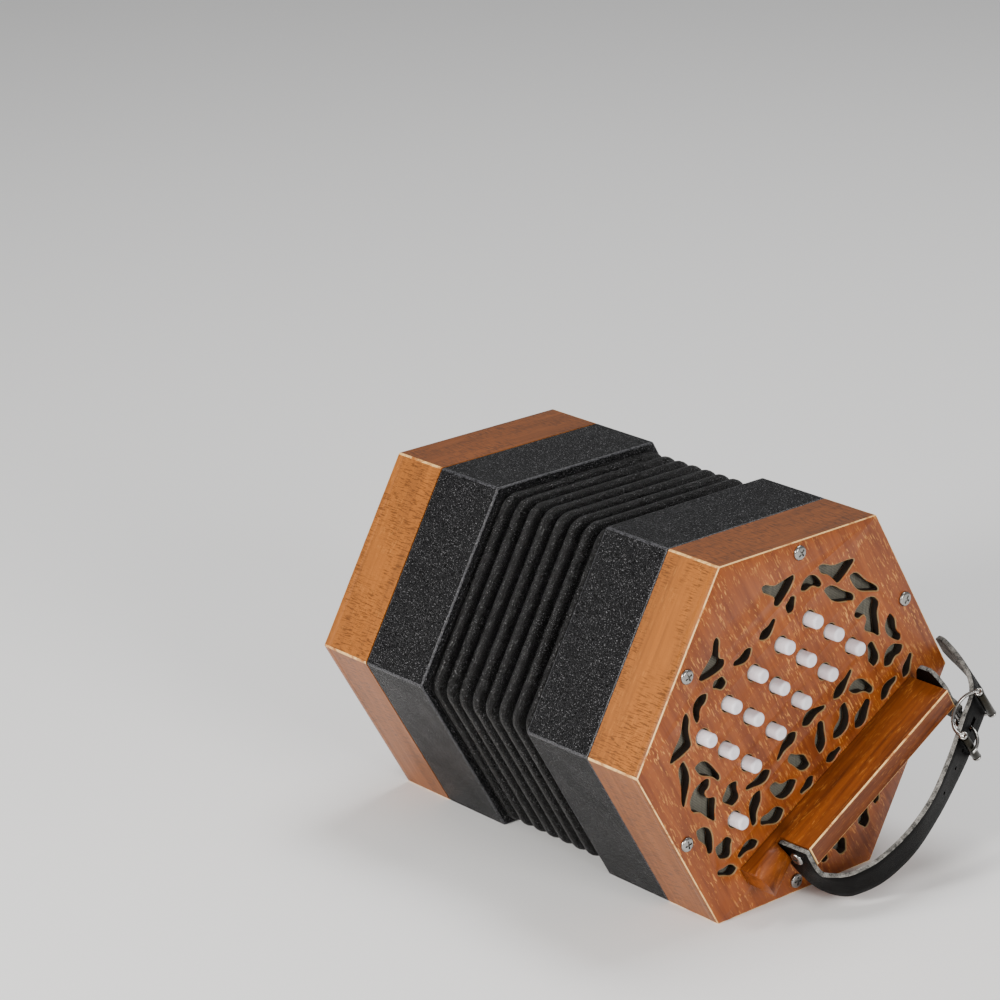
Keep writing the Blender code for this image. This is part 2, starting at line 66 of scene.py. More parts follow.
MM = 0.001
PLAY_TILT = math.radians(30)
PLATE_LOW, PLATE_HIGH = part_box("right_end_plate")
BODY_MIDDLE = (PLATE_LOW + PLATE_HIGH) / 2
BODY_MIDDLE.x = 0.0
HALF_LENGTH = PLATE_HIGH.x
PLATE_THICKNESS = HALF_LENGTH - PLATE_LOW.x
APOTHEM = BODY_MIDDLE.z
CORNER_RADIUS = APOTHEM / math.cos(PLAY_TILT)
FRAME_WALL = 0.006
FRAME_INNER = CORNER_RADIUS - FRAME_WALL / math.cos(PLAY_TILT)
CLOTH_RADIUS = FRAME_INNER - 0.0008
CLOTH_HALF = 0.0002
CLOTH_DROP = 0.0011
CASING_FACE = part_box("right_bellows_casing")[0].x
CASING_FLANGE = CORNER_RADIUS - 0.0045
FOLD_COUNT = 8
RIDGE_RADIUS = (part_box("bellows_fold_1")[1].z - BODY_MIDDLE.z) / math.cos(PLAY_TILT)
CREST_RADIUS = RIDGE_RADIUS - 0.0016
CREST_LAP = 0.0011
RIDGE_CORNER = 0.0050
WALL_CORNER = 0.0046
VALLEY_SHOULDER = 0.0050
VALLEY_SOFTNESS = 0.0006
RIDGE_LEATHER = 0.0006
WALL_CARD = 0.0005
HANDS = ("right", "left")

BUTTON_COUNT = 15
BUTTON_RADIUS = 0.0035
BUTTON_HEIGHT = 0.0068
BUTTON_SKIRT = 0.012
PEG_RADIUS = 0.0012
PEG_DEPTH = 0.0105
BUTTON_CLEARANCE = 0.0006
CLOTH_CLEARANCE = 0.0002
ROW_PITCH = 0.0198
ROW_ARCH = 0.0031
BUTTON_ROWS = ((-0.0093, 0.0416), (-0.0021, 0.0257), (0.0050, 0.0087))
PEARL_TURN = 1.9
AIR_BUTTON = (-0.0548, -0.0128)
BOLT_CIRCLE = 0.0830
BOLT_HEIGHT = 0.0014
SCREW_RADIUS = 0.0036
SCREW_HEIGHT = 0.0012
HEAD_LIFT = 0.0001

STRAP_WIDTH = 0.0185
STRAP_THICKNESS = 0.0026
STRAP_SCREW_STATION = 0.62
BUCKLE_STRAP_THICKNESS = 0.0022
BUCKLE_SPAN = 0.0240
BUCKLE_HALF_WIDTH = 0.0107
WIRE_RADIUS = 0.0009
ROLLER_RADIUS = 0.0021
ROLLER_OUT = 0.0040
BAR_IN = 0.0046
PRONG_RADIUS = 0.0009
PRONG_EYE_RADIUS = 0.0022
BUCKLE_STATION = 11
FRET_MIDDLE = -0.0015
LOBE_DEPTH = 0.26

# A strap station is its middle in mm and the lean of its width, both as (across, up, out).
STRAP_ROUTE = (
    ((-42.7, -38.2, 15.9), (0.0, 0.0, 1.0)),
    ((-42.7, -49.8, 16.4), (0.0, 0.1, 1.0)),
    ((-41.9, -57.7, 18.4), (0.0, 0.4, 0.92)),
    ((-40.3, -63.0, 22.5), (0.08, 0.68, 0.73)),
    ((-36.6, -66.5, 28.8), (0.12, 0.86, 0.5)),
    ((-31.0, -68.0, 33.6), (0.1, 0.93, 0.36)),
    ((-18.3, -70.2, 38.0), (0.0, 0.96, 0.27)),
    ((1.0, -71.0, 39.8), (-0.05, 0.96, 0.27)),
    ((22.0, -69.4, 38.4), (-0.12, 0.94, 0.31)),
    ((42.0, -65.4, 35.4), (-0.2, 0.94, 0.25)),
    ((56.1, -62.5, 32.3), (-0.22, 0.95, 0.18)),
    ((66.9, -60.0, 29.4), (-0.22, 0.95, 0.16)),
    ((77.6, -57.6, 26.5), (-0.22, 0.95, 0.16)),
    ((85.6, -55.6, 20.1), (-0.2, 0.97, 0.1)),
    ((91.6, -54.3, 9.4), (-0.15, 0.98, 0.1)),
    ((96.5, -53.4, -2.6), (-0.1, 0.99, 0.05)),
    ((99.2, -52.4, -12.3), (-0.1, 0.99, 0.0)),
)
BUCKLE_STRAP_ROUTE = (
    ((67.9, -28.5, 13.2), (0.0, 0.0, 1.0)),
    ((67.9, -38.0, 13.2), (0.0, 0.0, 1.0)),
    ((68.0, -46.8, 13.2), (0.0, 0.0, 1.0)),
    ((68.4, -51.4, 14.1), (0.0, 0.38, 0.92)),
    ((69.0, -55.3, 16.7), (-0.05, 0.71, 0.71)),
    ((69.4, -57.9, 20.6), (-0.14, 0.92, 0.38)),
    ((69.1, -58.7, 23.3), (-0.22, 0.95, 0.16)),
)
STRAP_HOLES = (8.4, 9.1, 9.75, 10.35, 12.9, 13.7, 14.5)

# Fretwork holes cut in mirrored pairs: middle (across, up), length, width, turn in degrees,
# bend in degrees and taper, for the hole on the right. Sizes in mm.
PAIRED_HOLES = (
    ((9.3, 53.3), 12.6, 4.8, 6, 40, 0.0),
    ((26.4, 53.3), 8.2, 5.6, 40, 20, 0.2),
    ((41.7, 52.6), 15.0, 5.4, -35, -95, -0.1),
    ((67.6, 27.0), 22.6, 5.4, -62, 10, -0.3),
    ((71.4, -7.8), 17.6, 6.2, 88, -70, 0.0),
    ((32.4, -7.6), 16.4, 5.0, 14, 20, -0.2),
    ((10.5, -6.0), 16.2, 5.2, -10, -35, -0.3),
    ((8.4, -19.7), 16.2, 6.6, 62, 25, 0.1),
    ((22.6, -23.4), 18.6, 7.6, 38, 85, 0.1),
    ((41.0, -18.2), 17.6, 6.2, -48, -60, 0.0),
    ((69.8, -32.0), 12.2, 4.8, 38, 12, 0.0),
    ((54.4, -32.2), 13.6, 5.0, 14, -40, -0.1),
    ((34.9, -30.8), 15.2, 7.4, 26, 20, 0.1),
    ((10.2, -34.4), 10.4, 4.6, -6, 10, 0.0),
    ((9.6, -79.6), 10.5, 7.2, 74, 15, 0.3),
    ((21.8, -74.5), 11.0, 5.2, 55, -25, 0.0),
    ((13.0, -61.0), 14.0, 5.8, 20, 45, 0.2),
    ((31.0, -60.5), 14.5, 5.6, -30, -40, 0.2),
    ((46.5, -57.0), 12.0, 5.0, 35, 20, 0.0),
)
# Holes without a partner, in the same terms.
SINGLE_HOLES = (
    ((51.2, 34.4), 22.0, 6.0, -56, 0, 0.0),
    ((-54.6, 21.0), 19.0, 5.4, -64, -45, -0.2),
    ((53.4, -9.0), 13.4, 6.4, 78, 45, 0.1),
    ((-49.8, -0.6), 11.6, 9.8, 70, 10, 0.2),
    ((63.6, -19.4), 14.6, 7.4, 0, -70, 0.0),
    ((-66.6, -20.6), 10.6, 9.8, 30, 10, 0.0),
)
# Bird, gull and sickle, drawn point by point round the outline, in mm from the end's middle.
BIRD_HOLE = (
    (16.6, 74.6), (19.3, 73.6), (22.6, 69.0), (27.8, 67.4), (35.2, 65.2),
    (34.3, 62.6), (27.4, 59.8), (20.2, 58.4), (18.0, 61.2), (20.8, 64.2), (18.6, 68.0), (16.0, 71.8),
)
GULL_HOLE = (
    (49.0, 56.8), (51.8, 55.6), (56.6, 49.6), (63.6, 46.4), (69.8, 42.2),
    (62.0, 40.2), (54.6, 39.6), (53.6, 43.6), (52.2, 48.2), (48.8, 52.6),
)
SICKLE_HOLE = (
    (54.7, 17.2), (57.3, 19.4), (64.1, 20.0), (69.5, 16.6), (71.1, 11.0),
    (67.1, 7.4), (65.3, 1.6), (62.7, -4.6), (60.3, 0.6), (56.1, 6.4), (60.7, 9.6), (60.5, 13.6), (56.5, 14.0),
)
DRAWN_HOLES = (BIRD_HOLE, GULL_HOLE, SICKLE_HOLE)

PLAY_FRAME = Matrix.Translation((HALF_LENGTH, BODY_MIDDLE.y, BODY_MIDDLE.z)) @ Matrix((
    (0.0, math.cos(PLAY_TILT), math.sin(PLAY_TILT)),
    (0.0, -math.sin(PLAY_TILT), math.cos(PLAY_TILT)),
    (1.0, 0.0, 0.0),
)).transposed().to_4x4()
WALL_AREA = 0.0001
# The plate's finishes, and their places in that order.
PLATE_FINISHES = ("plate_wood", "charred_cut", "worn_arris", "fret_edge", "wall_wood")
FLAT, CUT, ARRIS, FRET_EDGE, WALL = range(5)
# Painted shade: a tint for each wall, from the top wall round towards the front, darkest on the top wall and
# none on the upper front wall.
WALL_SHADE_TINTS = ((0.60, 0.52, 0.45), (1.0, 1.0, 1.0), (0.72, 0.66, 0.58), (0.80, 0.74, 0.66),
               (0.84, 0.74, 0.58), (0.90, 0.86, 0.80))
VARNISH = {"Specular IOR Level": 0.35, "Coat Weight": 0.12, "Coat Roughness": 0.28}
FINISHES = {}


# Settings

def length_setting(name, description, default):
    return bpy.props.FloatProperty(name=name, description=description, default=default, unit="LENGTH")


def colour_setting(name, description, default):
    return bpy.props.FloatVectorProperty(name=name, description=description, default=default, subtype="COLOR")


class ConcertinaSizes(bpy.types.PropertyGroup):
    """Sizes of the finishing touches."""
    fret_points: bpy.props.IntProperty(name="Fret points", description="Points round each fretwork hole",
                                       default=36, min=12, max=64)
    fret_round: length_setting("Fret rounding", "Rounding of the fretwork's cut edges", 0.0005)
    arris: length_setting("Arris", "Width of the worn wooden edges", 0.0008)
    casing_round: length_setting("Casing rounding", "Rounding of the casing's edges", 0.0009)
    ridge_half: length_setting("Ridge half width", "Half the width of a bellows ridge", 0.0021)
    valley_depth: length_setting("Valley depth", "Depth of a bellows valley", 0.0175)
    bolt_radius: length_setting("Bolt radius", "Radius of an end bolt's head", 0.0037)


class ConcertinaColours(bpy.types.PropertyGroup):
    """Colours of the finishes."""
    wood: colour_setting("Wood", "Stain of the end plates and rails", (0.36, 0.088, 0.010))
    wood_deep: colour_setting("Deep wood", "Darker streaks of the wood", (0.17, 0.033, 0.004))
    fleck: colour_setting("Fleck", "Golden flecks of the wood", (0.74, 0.30, 0.060))
    wall: colour_setting("Wall", "Wood of the end frames", (0.40, 0.128, 0.019))
    bare: colour_setting("Bare wood", "Wood where the stain is rubbed through", (0.84, 0.52, 0.20))
    leather: colour_setting("Leather", "Black of the straps and bellows", (0.0032, 0.0030, 0.0030))
    casing: colour_setting("Casing", "Black of the casing's covering", (0.0042, 0.0042, 0.0047))
    flesh: colour_setting("Flesh side", "Back and cut edge of the leather", (0.13, 0.125, 0.115))
    cloth: colour_setting("Baffle cloth", "Cloth behind the fretwork", (0.165, 0.155, 0.118))
    pearl: colour_setting("Pearl", "Buttons", (0.83, 0.79, 0.84))
    nickel: colour_setting("Nickel", "Bolts and screws", (0.46, 0.45, 0.43))
    dull_nickel: colour_setting("Dull nickel", "Buckle rollers", (0.026, 0.023, 0.015))


# Selecting, shaping and placing

def deselect():
    if bpy.context.mode != "OBJECT":
        bpy.ops.object.mode_set(mode="OBJECT")
    bpy.ops.object.select_all(action="DESELECT")


def hold(obj):
    """Makes the object the only one selected, and active."""
    deselect()
    obj.select_set(True)
    bpy.context.view_layer.objects.active = obj


def named(name):
    """Names the active object and its mesh."""
    obj = bpy.context.active_object
    obj.name = name
    obj.data.name = name
    return obj


def linked(name, data):
    """Puts mesh or curve data into the scene as an object."""
    obj = bpy.data.objects.new(name, data)
    bpy.context.scene.collection.objects.link(obj)
    return obj


def added(name, operator, **values):
    """Adds a primitive, leaves its place in its mesh and names it."""
    deselect()
    operator(**values)
    bpy.ops.object.transform_apply(location=True, rotation=True, scale=True)
    return named(name)


def edit(obj, select="SELECT"):
    hold(obj)
    bpy.ops.object.mode_set(mode="EDIT")
    bpy.ops.mesh.select_mode(type="VERT")
    bpy.ops.mesh.select_all(action=select)


def leave_edit():
    bpy.ops.object.mode_set(mode="OBJECT")


def choose(obj, kind, test):
    """In edit mode, selects only the vertices, edges or faces that pass the test."""
    bpy.ops.mesh.select_all(action="DESELECT")
    bpy.ops.mesh.select_mode(type=kind)
    shape = bmesh.from_edit_mesh(obj.data)
    for part in {"VERT": shape.verts, "EDGE": shape.edges, "FACE": shape.faces}[kind]:
        part.select_set(bool(test(part)))
    shape.select_flush_mode()
    bmesh.update_edit_mesh(obj.data)


def modify(obj, kind, **values):
    """Adds a modifier, sets its values and applies it."""
    hold(obj)
    modifier = obj.modifiers.new(kind.lower(), kind)
    for key, value in values.items():
        setattr(modifier, key, value)
    bpy.ops.object.modifier_apply(modifier=modifier.name)


def round_edges(obj, width, segments, angle, **values):
    """Bevels the edges that are sharper than an angle in degrees."""
    modify(obj, "BEVEL", width=width, segments=segments, limit_method="ANGLE",
           angle_limit=math.radians(angle), **values)


def cut(obj, tool):
    """Cuts the tool out of the object and removes the tool."""
    modify(obj, "BOOLEAN", operation="DIFFERENCE", object=tool, solver="EXACT")
    bpy.data.objects.remove(tool, do_unlink=True)


def settle(obj, matrix):
    """Moves a piece to its place and leaves the place in its mesh."""
    hold(obj)
    obj.matrix_world = matrix @ obj.matrix_world
    bpy.ops.object.transform_apply(location=True, rotation=True, scale=True)
    return obj


def mirror(obj):
    """Turns a right-hand piece into a left-hand one."""
    obj.data.transform(Matrix.Scale(-1, 4, (1, 0, 0)))
    obj.data.flip_normals()


def place_in_end(obj, hand, matrix):
    """Moves a piece from its place in the play frame to that place in the given end."""
    settle(obj, PLAY_FRAME @ matrix)
    if hand == "left":
        mirror(obj)
    return obj


def copy_of(obj, name):
    twin = linked(name, obj.data.copy())
    twin.data.name = name
    return twin


def join(objects, name):
    deselect()
    for obj in objects:
        obj.select_set(True)
    bpy.context.view_layer.objects.active = objects[0]
    bpy.ops.object.join()
    return named(name)


def wear(obj, *finishes):
    """Gives a piece its materials in order."""
    obj.data.materials.clear()
    for finish in finishes:
        obj.data.materials.append(FINISHES[finish])


def cad_copy(node, name, *finishes):
    """A merged copy of a CAD node with the given finishes and its flat faces whole again."""
    obj = linked(name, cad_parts[node].data.copy())
    wear(obj, *finishes)
    edit(obj)
    bpy.ops.mesh.remove_doubles(threshold=0.000005)
    bpy.ops.mesh.dissolve_limited(angle_limit=math.radians(1))
    leave_edit()
    return obj


def smooth(obj, angle, flat_walls=False):
    """Smooth shading up to an angle; with flat_walls, faces larger than WALL_AREA stay flat."""
    hold(obj)
    bpy.ops.object.shade_smooth_by_angle(angle=math.radians(angle))
    if flat_walls:
        for face in obj.data.polygons:
            face.use_smooth = face.area < WALL_AREA


def dress(obj, body, nodes=()):
    """Gives a piece its body and hides the CAD nodes that it stands for."""
    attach(obj, body)
    if nodes:
        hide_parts(*nodes)


def both_hands(right, node, angle, flat_walls=False, body="_end"):
    """Dresses a right-hand piece and its mirrored twin. The node and the body are named after each hand."""
    left = copy_of(right, right.name.replace("right", "left"))
    mirror(left)
    for hand, obj in zip(HANDS, (right, left)):
        smooth(obj, angle, flat_walls)
        dress(obj, hand + body, [hand + node] if node else ())
    return right, left


# Curves and outlines

def circle_loop(x, y, radius, count):
    angles = [math.tau * (index + 0.5) / count for index in range(count)]
    return [(x + radius * math.cos(angle), y + radius * math.sin(angle)) for angle in angles]


def hexagon_loop(radius):
    angles = [PLAY_TILT + math.radians(60 * index) for index in range(6)]
    return [(radius * math.cos(angle), radius * math.sin(angle)) for angle in angles]


def softened_hexagon(reach):
    """The end's outline with its corners rounded over the given reach."""
    corners = [Vector(point) for point in hexagon_loop(CORNER_RADIUS)]
    loop = []
    for index, corner in enumerate(corners):
        start = corner + (corners[index - 1] - corner).normalized() * reach
        end = corner + (corners[(index + 1) % 6] - corner).normalized() * reach
        for step in range(5):
            part = step / 4
            loop.append(tuple(start.lerp(corner, part).lerp(corner.lerp(end, part), part)))
    return loop


def bean_loop(count, middle, length, width, turn_deg, bend_deg, taper):
    """A bean with three faint lobes: an ellipse bent along an arc, fuller at one end by the taper."""
    loop = []
    bend = math.radians(bend_deg)
    heading = math.radians(turn_deg)
    for index in range(count):
        angle = math.tau * (index + 0.5) / count
        along = 0.5 * length * math.cos(angle)
        lobe = 1 + LOBE_DEPTH * math.cos(3 * angle + heading - bend)
        across = 0.5 * width * math.sin(angle) * (1 + taper * math.cos(angle)) * lobe
        if bend_deg:
            radius = length / bend
            x = (radius - across) * math.sin(along / radius)
            y = radius - (radius - across) * math.cos(along / radius) - 0.12 * length * math.tan(bend / 4)
        else:
            x, y = along, across
        loop.append((
            (middle[0] + x * math.cos(heading) - y * math.sin(heading)) * MM,
            (middle[1] + x * math.sin(heading) + y * math.cos(heading)) * MM,
        ))
    return loop


def rounded_loop(points, rounds):
    """A closed outline in mm, softened by rounds of corner cutting."""
    loop = [Vector(point) * MM for point in points]
    for _ in range(rounds):
        softer = []
        for here, there in zip(loop, loop[1:] + loop[:1]):
            softer += [here.lerp(there, 0.2), here.lerp(there, 0.8)]
        loop = softer
    return [tuple(point) for point in loop]


def in_pairs(loops):
    """Each outline on the right, and its mirror image on the left."""
    pairs = []
    for loop in loops:
        pairs.append([(FRET_MIDDLE + x, y) for x, y in loop])
        pairs.append([(FRET_MIDDLE - x, y) for x, y in reversed(loop)])
    return pairs


def fret_loops(count):
    """Every fretwork hole of an end plate."""
    return (in_pairs([bean_loop(count, *hole) for hole in PAIRED_HOLES])
            + [bean_loop(count, *hole) for hole in SINGLE_HOLES]
            + in_pairs([rounded_loop(drawing, 3) for drawing in DRAWN_HOLES]))


def button_places(hand):
    """Where the buttons stand: three rows of five on a shallow arch, and the air button on the right."""
    places = []
    for row_middle, row_up in BUTTON_ROWS:
        for index in (-2, -1, 0, 1, 2):
            places.append((row_middle + index * ROW_PITCH, row_up - ROW_ARCH * (index / 2) ** 2))
    return places + [AIR_BUTTON] if hand == "right" else places


def button_holes(hand, clearance, count):
    return [circle_loop(x, y, BUTTON_RADIUS + clearance, count) for x, y in button_places(hand)]


def curve_piece(name, loops, cyclic=True, flat_half=None, bevel=0.0, resolution=2):
    """A flat plate between outlines, or round wires through points, made into a mesh."""
    curve = bpy.data.curves.new(name, "CURVE")
    curve.dimensions = "3D" if flat_half is None else "2D"
    curve.bevel_depth = bevel
    curve.bevel_resolution = resolution
    if flat_half is None:
        curve.use_fill_caps = True
    else:
        curve.fill_mode = "BOTH"
        curve.extrude = flat_half - bevel
        curve.offset = -bevel
    for loop in loops:
        spline = curve.splines.new("POLY")
        spline.points.add(len(loop) - 1)
        for point, position in zip(spline.points, loop):
            point.co = (*position, 0.0, 1.0) if len(position) == 2 else (*position, 1.0)
        spline.use_cyclic_u = cyclic
    hold(linked(name, curve))
    bpy.ops.object.convert(target="MESH")
    obj = named(name)
    edit(obj)
    bpy.ops.mesh.remove_doubles(threshold=0.000002)
    leave_edit()
    return obj


# Material building blocks

def feed(tree, made, inputs):
    """Gives each named input of a node its value, or links it from a socket."""
    for key, value in inputs.items():
        socket = made.inputs[key]
        if isinstance(value, bpy.types.NodeSocket):
            tree.links.new(value, socket)
        elif socket.type == "RGBA":
            socket.default_value = (*value[:3], 1.0)
        else:
            socket.default_value = value


def node(tree, kind, inputs, **values):
    made = tree.nodes.new("ShaderNode" + kind)
    for key, value in values.items():
        setattr(made, key, value)
    feed(tree, made, inputs)
    return made


def calc(tree, operation, a, b=0.0):
    return node(tree, "Math", {0: a, 1: b}, operation=operation).outputs[0]


def spread(tree, value, low=0.0, high=1.0, to_low=0.0, to_high=1.0):
    """A value with one range mapped to another."""
    return node(tree, "MapRange", {"Value": value, "From Min": low, "From Max": high,
                                   "To Min": to_low, "To Max": to_high}).outputs[0]


def ramp(tree, value, stops):
    """A grey ramp of (place, brightness) stops."""
    made = node(tree, "ValToRGB", {"Fac": value})
    for element, (place, grey) in zip(made.color_ramp.elements, stops):
        element.position = place
        element.color = (grey, grey, grey, 1.0)
    return made.outputs["Color"]


def mix(tree, factor, a, b, blend="MIX"):
    return node(tree, "Mix", {0: factor, 6: a, 7: b}, data_type="RGBA", blend_type=blend).outputs[2]


def scaled(colour, factor):
    return [min(1.0, part * factor) for part in colour]


def stretched_noise(tree, vector, scale, detail=3.0, distortion=0.0, roughness=0.5):
    """Noise at one scale, or at a scale for each axis."""
    scales = scale if isinstance(scale, tuple) else (scale, scale, scale)
    mapped = node(tree, "Mapping", {"Vector": vector, "Scale": scales})
    return node(tree, "TexNoise", {"Vector": mapped.outputs[0], "Scale": 1.0, "Detail": detail,
                                   "Roughness": roughness, "Distortion": distortion}).outputs["Fac"]


def new_group(name, amounts, results):
    """A node group that takes a vector and the given amounts, and puts out the named values."""
    group = bpy.data.node_groups.new(name, "ShaderNodeTree")
    group.interface.new_socket("Vector", in_out="INPUT", socket_type="NodeSocketVector")
    for title, amount in amounts.items():
        socket = group.interface.new_socket(title, in_out="INPUT", socket_type="NodeSocketFloat")
        socket.default_value = amount
    for title in results:
        group.interface.new_socket(title, in_out="OUTPUT", socket_type="NodeSocketFloat")
    return group, group.nodes.new("NodeGroupInput").outputs, group.nodes.new("NodeGroupOutput")


def use_group(tree, name, inputs):
    return node(tree, "Group", inputs, node_tree=bpy.data.node_groups[name]).outputs


def wood_grain_group():
    """Streaks, short golden flecks and fine pores. The grain runs along the vector's Y."""
    group, given, out = new_group("wood_grain", {"Fleck Amount": 0.5, "Ripple Amount": 0.0},
                                  ("Streaks", "Flecks", "Ripples", "Height"))
    vector = given["Vector"]
    broad = stretched_noise(group, vector, (55, 5, 55), 3, 0.7)
    fine = stretched_noise(group, vector, (420, 18, 420), 3, 0.3)
    dashes = stretched_noise(group, vector, (1250, 230, 1250), 2, 0.4)
    patches = stretched_noise(group, vector, (70, 45, 70), 2)
    hairs = stretched_noise(group, vector, (190, 1500, 190), 2, 0.5)
    bands = stretched_noise(group, vector, (60, 22, 60), 2, 0.5)
    flecks = calc(group, "MULTIPLY", spread(group, dashes, 0.575, 0.66), spread(group, patches, 0.35, 0.62))
    ripples = calc(group, "MULTIPLY", spread(group, hairs, 0.50, 0.60), spread(group, bands, 0.36, 0.52))
    feed(group, out, {
        "Streaks": spread(group, calc(group, "ADD", broad, fine), 0.72, 1.28),
        "Flecks": calc(group, "MULTIPLY", flecks, given["Fleck Amount"]),
        "Ripples": calc(group, "MULTIPLY", ripples, given["Ripple Amount"]),
        "Height": calc(group, "ADD", fine, dashes),
    })


def pebble_group():
    """Leather pebbles: rounded cells of a given size, nudged out of line by a finer noise."""
    group, given, out = new_group("leather_pebbles", {"Scale": 900.0}, ("Height", "Creases", "Patches"))
    vector = given["Vector"]
    warp = node(group, "TexNoise", {"Vector": vector, "Scale": 500.0, "Detail": 2.0})
    nudge = node(group, "VectorMath", {0: warp.outputs["Color"], "Scale": 0.0009}, operation="SCALE")
    moved = node(group, "VectorMath", {0: vector, 1: nudge.outputs[0]}, operation="ADD")
    cells = node(group, "TexVoronoi", {"Vector": moved.outputs[0], "Scale": given["Scale"]},
                 feature="SMOOTH_F1")
    cells.inputs["Smoothness"].default_value = 0.35
    distance = cells.outputs["Distance"]
    patches = node(group, "TexNoise", {"Vector": vector, "Scale": 45.0, "Detail": 4.0})
    feed(group, out, {
        "Height": spread(group, distance, 0.15, 0.75, 1.0, 0.0),
        "Creases": spread(group, distance, 0.5, 0.8),
        "Patches": patches.outputs["Fac"],
    })


def weave_group():
    """Plain weave: threads that cross at a given count for each metre."""
    group, given, out = new_group("plain_weave", {"Threads": 1500.0}, ("Height", "Shade"))
    split = node(group, "SeparateXYZ", {0: given["Vector"]})
    waves = []
    for axis in "YZ":
        turns = calc(group, "MULTIPLY", split.outputs[axis], given["Threads"])
        waves.append(calc(group, "ABSOLUTE", calc(group, "SINE", calc(group, "MULTIPLY", turns, math.pi))))
    height = calc(group, "MULTIPLY", *waves)
    slub = stretched_noise(group, given["Vector"], (300, 900, 120), 2)
    feed(group, out, {"Height": height, "Shade": calc(group, "MULTIPLY", height, slub)})


def new_finish(name):
    material = bpy.data.materials.new(name)
    material.use_nodes = True
    FINISHES[name] = material
    return material.node_tree, material.node_tree.nodes["Principled BSDF"]


def object_vector(tree):
    return node(tree, "TexCoord", {}).outputs["Object"]


def play_vector(tree, order):
    """Object coordinates turned to the play frame and dealt out in the given order of x, u and v."""
    turned = node(tree, "Mapping", {"Vector": object_vector(tree), "Rotation": (-PLAY_TILT, 0, 0)})
    split = node(tree, "SeparateXYZ", {0: turned.outputs[0]}).outputs
    sockets = {"x": split["X"], "u": split["Y"], "v": split["Z"]}
    return node(tree, "CombineXYZ", {key: sockets[part] for key, part in zip("XYZ", order)}).outputs[0]


def plate_vector(tree):
    return play_vector(tree, "uvx")


def rail_vector(tree):
    return play_vector(tree, "vux")


def board_vector(tree):
    """The piece's own UV map, with the grain along U; each board has its own stretch of the map."""
    split = node(tree, "SeparateXYZ", {0: node(tree, "UVMap", {}, uv_map="boards").outputs[0]})
    return node(tree, "CombineXYZ", {"X": split.outputs["Y"], "Y": split.outputs["X"]}).outputs[0]


def bump(tree, height, strength, distance):
    return node(tree, "Bump", {"Height": height, "Strength": strength, "Distance": distance}).outputs[0]


def wood_finish(name, vector_of, light, deep, fleck, flecks, rough, ripples=0.0, tint=None):
    """Stained wood under a thin satin varnish."""
    tree, shader = new_finish(name)
    grain = use_group(tree, "wood_grain", {"Vector": vector_of(tree), "Fleck Amount": flecks,
                                           "Ripple Amount": ripples})
    colour = mix(tree, grain["Streaks"], deep, light)
    colour = mix(tree, grain["Ripples"], colour, scaled(deep, 0.42))
    colour = mix(tree, grain["Flecks"], colour, fleck)
    patches = stretched_noise(tree, object_vector(tree), 18)
    colour = mix(tree, 0.35, colour, ramp(tree, patches, ((0.3, 0.55), (0.7, 1.0))), "MULTIPLY")
    # Painted shade: each wall's tint darkens the whole wall, most of all the top wall.
    if tint:
        board = node(tree, "Attribute", {}, attribute_name=tint).outputs["Color"]
        colour = mix(tree, 1.0, colour, board, "MULTIPLY")
    gloss = spread(tree, grain["Streaks"], to_low=rough + 0.10, to_high=rough)
    feed(tree, shader, {"Base Color": colour, "Roughness": gloss,
                        "Normal": bump(tree, grain["Height"], 0.22, 0.0002), **VARNISH})


def arris_finish(name, bare, stained):
    """A wooden edge where handling has rubbed the stain through in patches."""
    tree, shader = new_finish(name)
    rubbed = stretched_noise(tree, object_vector(tree), 130, 4, 0.5, 0.65)
    feed(tree, shader, {"Base Color": mix(tree, spread(tree, rubbed, 0.36, 0.52), stained, bare),
                        "Roughness": 0.4, "Normal": bump(tree, rubbed, 0.3, 0.0003)})


def leather_finish(name, colour, scale, rough, relief, gleam, painted_glint=0.0):
    """Black leather or book cloth with pebbles at the given scale: pebble tops painted lighter and the
    hollows between them darker as painted light and shade, and bright spots of painted highlight when a last
    grey is given.
    """
    tree, shader = new_finish(name)
    pebbles = use_group(tree, "leather_pebbles", {"Vector": object_vector(tree), "Scale": scale})
    # Painted light and shade: pebble tops lighter, the hollows between pebbles darker.
    shade = mix(tree, pebbles["Height"], colour, scaled(colour, 2.6))
    shade = mix(tree, pebbles["Creases"], shade, scaled(colour, 0.4))
    # Painted highlight: bright grey spots mixed into the base colour, the same on every face.
    if painted_glint:
        painted_glint_specks = stretched_noise(tree, object_vector(tree), 1700, 2, 0.0, 0.6)
        shade = mix(tree, spread(tree, painted_glint_specks, 0.61, 0.69), shade, (painted_glint, painted_glint, painted_glint * 1.04))
    feed(tree, shader, {"Base Color": shade, "Specular IOR Level": gleam,
                        "Roughness": spread(tree, pebbles["Patches"], 0.3, 0.7, rough - 0.06, rough + 0.08),
                        "Normal": bump(tree, pebbles["Height"], relief, 0.0005)})


def flesh_finish(colour):
    """The rough, mottled back and cut edge of strap leather."""
    tree, shader = new_finish("flesh_leather")
    spots = stretched_noise(tree, object_vector(tree), 1500, 3, 0.4, 0.7)
    clouds = stretched_noise(tree, object_vector(tree), 260, 4, 0.2, 0.6)
    both = calc(tree, "ADD", spots, clouds)
    mottled = mix(tree, spread(tree, both, 0.82, 1.18), scaled(colour, 0.16), scaled(colour, 1.9))
    feed(tree, shader, {"Base Color": mottled, "Roughness": 0.85, "Normal": bump(tree, both, 0.6, 0.0005)})


def cloth_finish(colour):
    tree, shader = new_finish("baffle_cloth")
    weave = use_group(tree, "plain_weave", {"Vector": object_vector(tree), "Threads": 1250.0})
    # Painted shade: the gaps between threads darker, with a random slub tone along the threads.
    woven = mix(tree, spread(tree, weave["Shade"], 0.0, 0.5), scaled(colour, 0.35), scaled(colour, 1.25))
    feed(tree, shader, {"Base Color": woven, "Roughness": 0.9, "Sheen Weight": 0.3,
                        "Normal": bump(tree, weave["Height"], 0.5, 0.0003)})


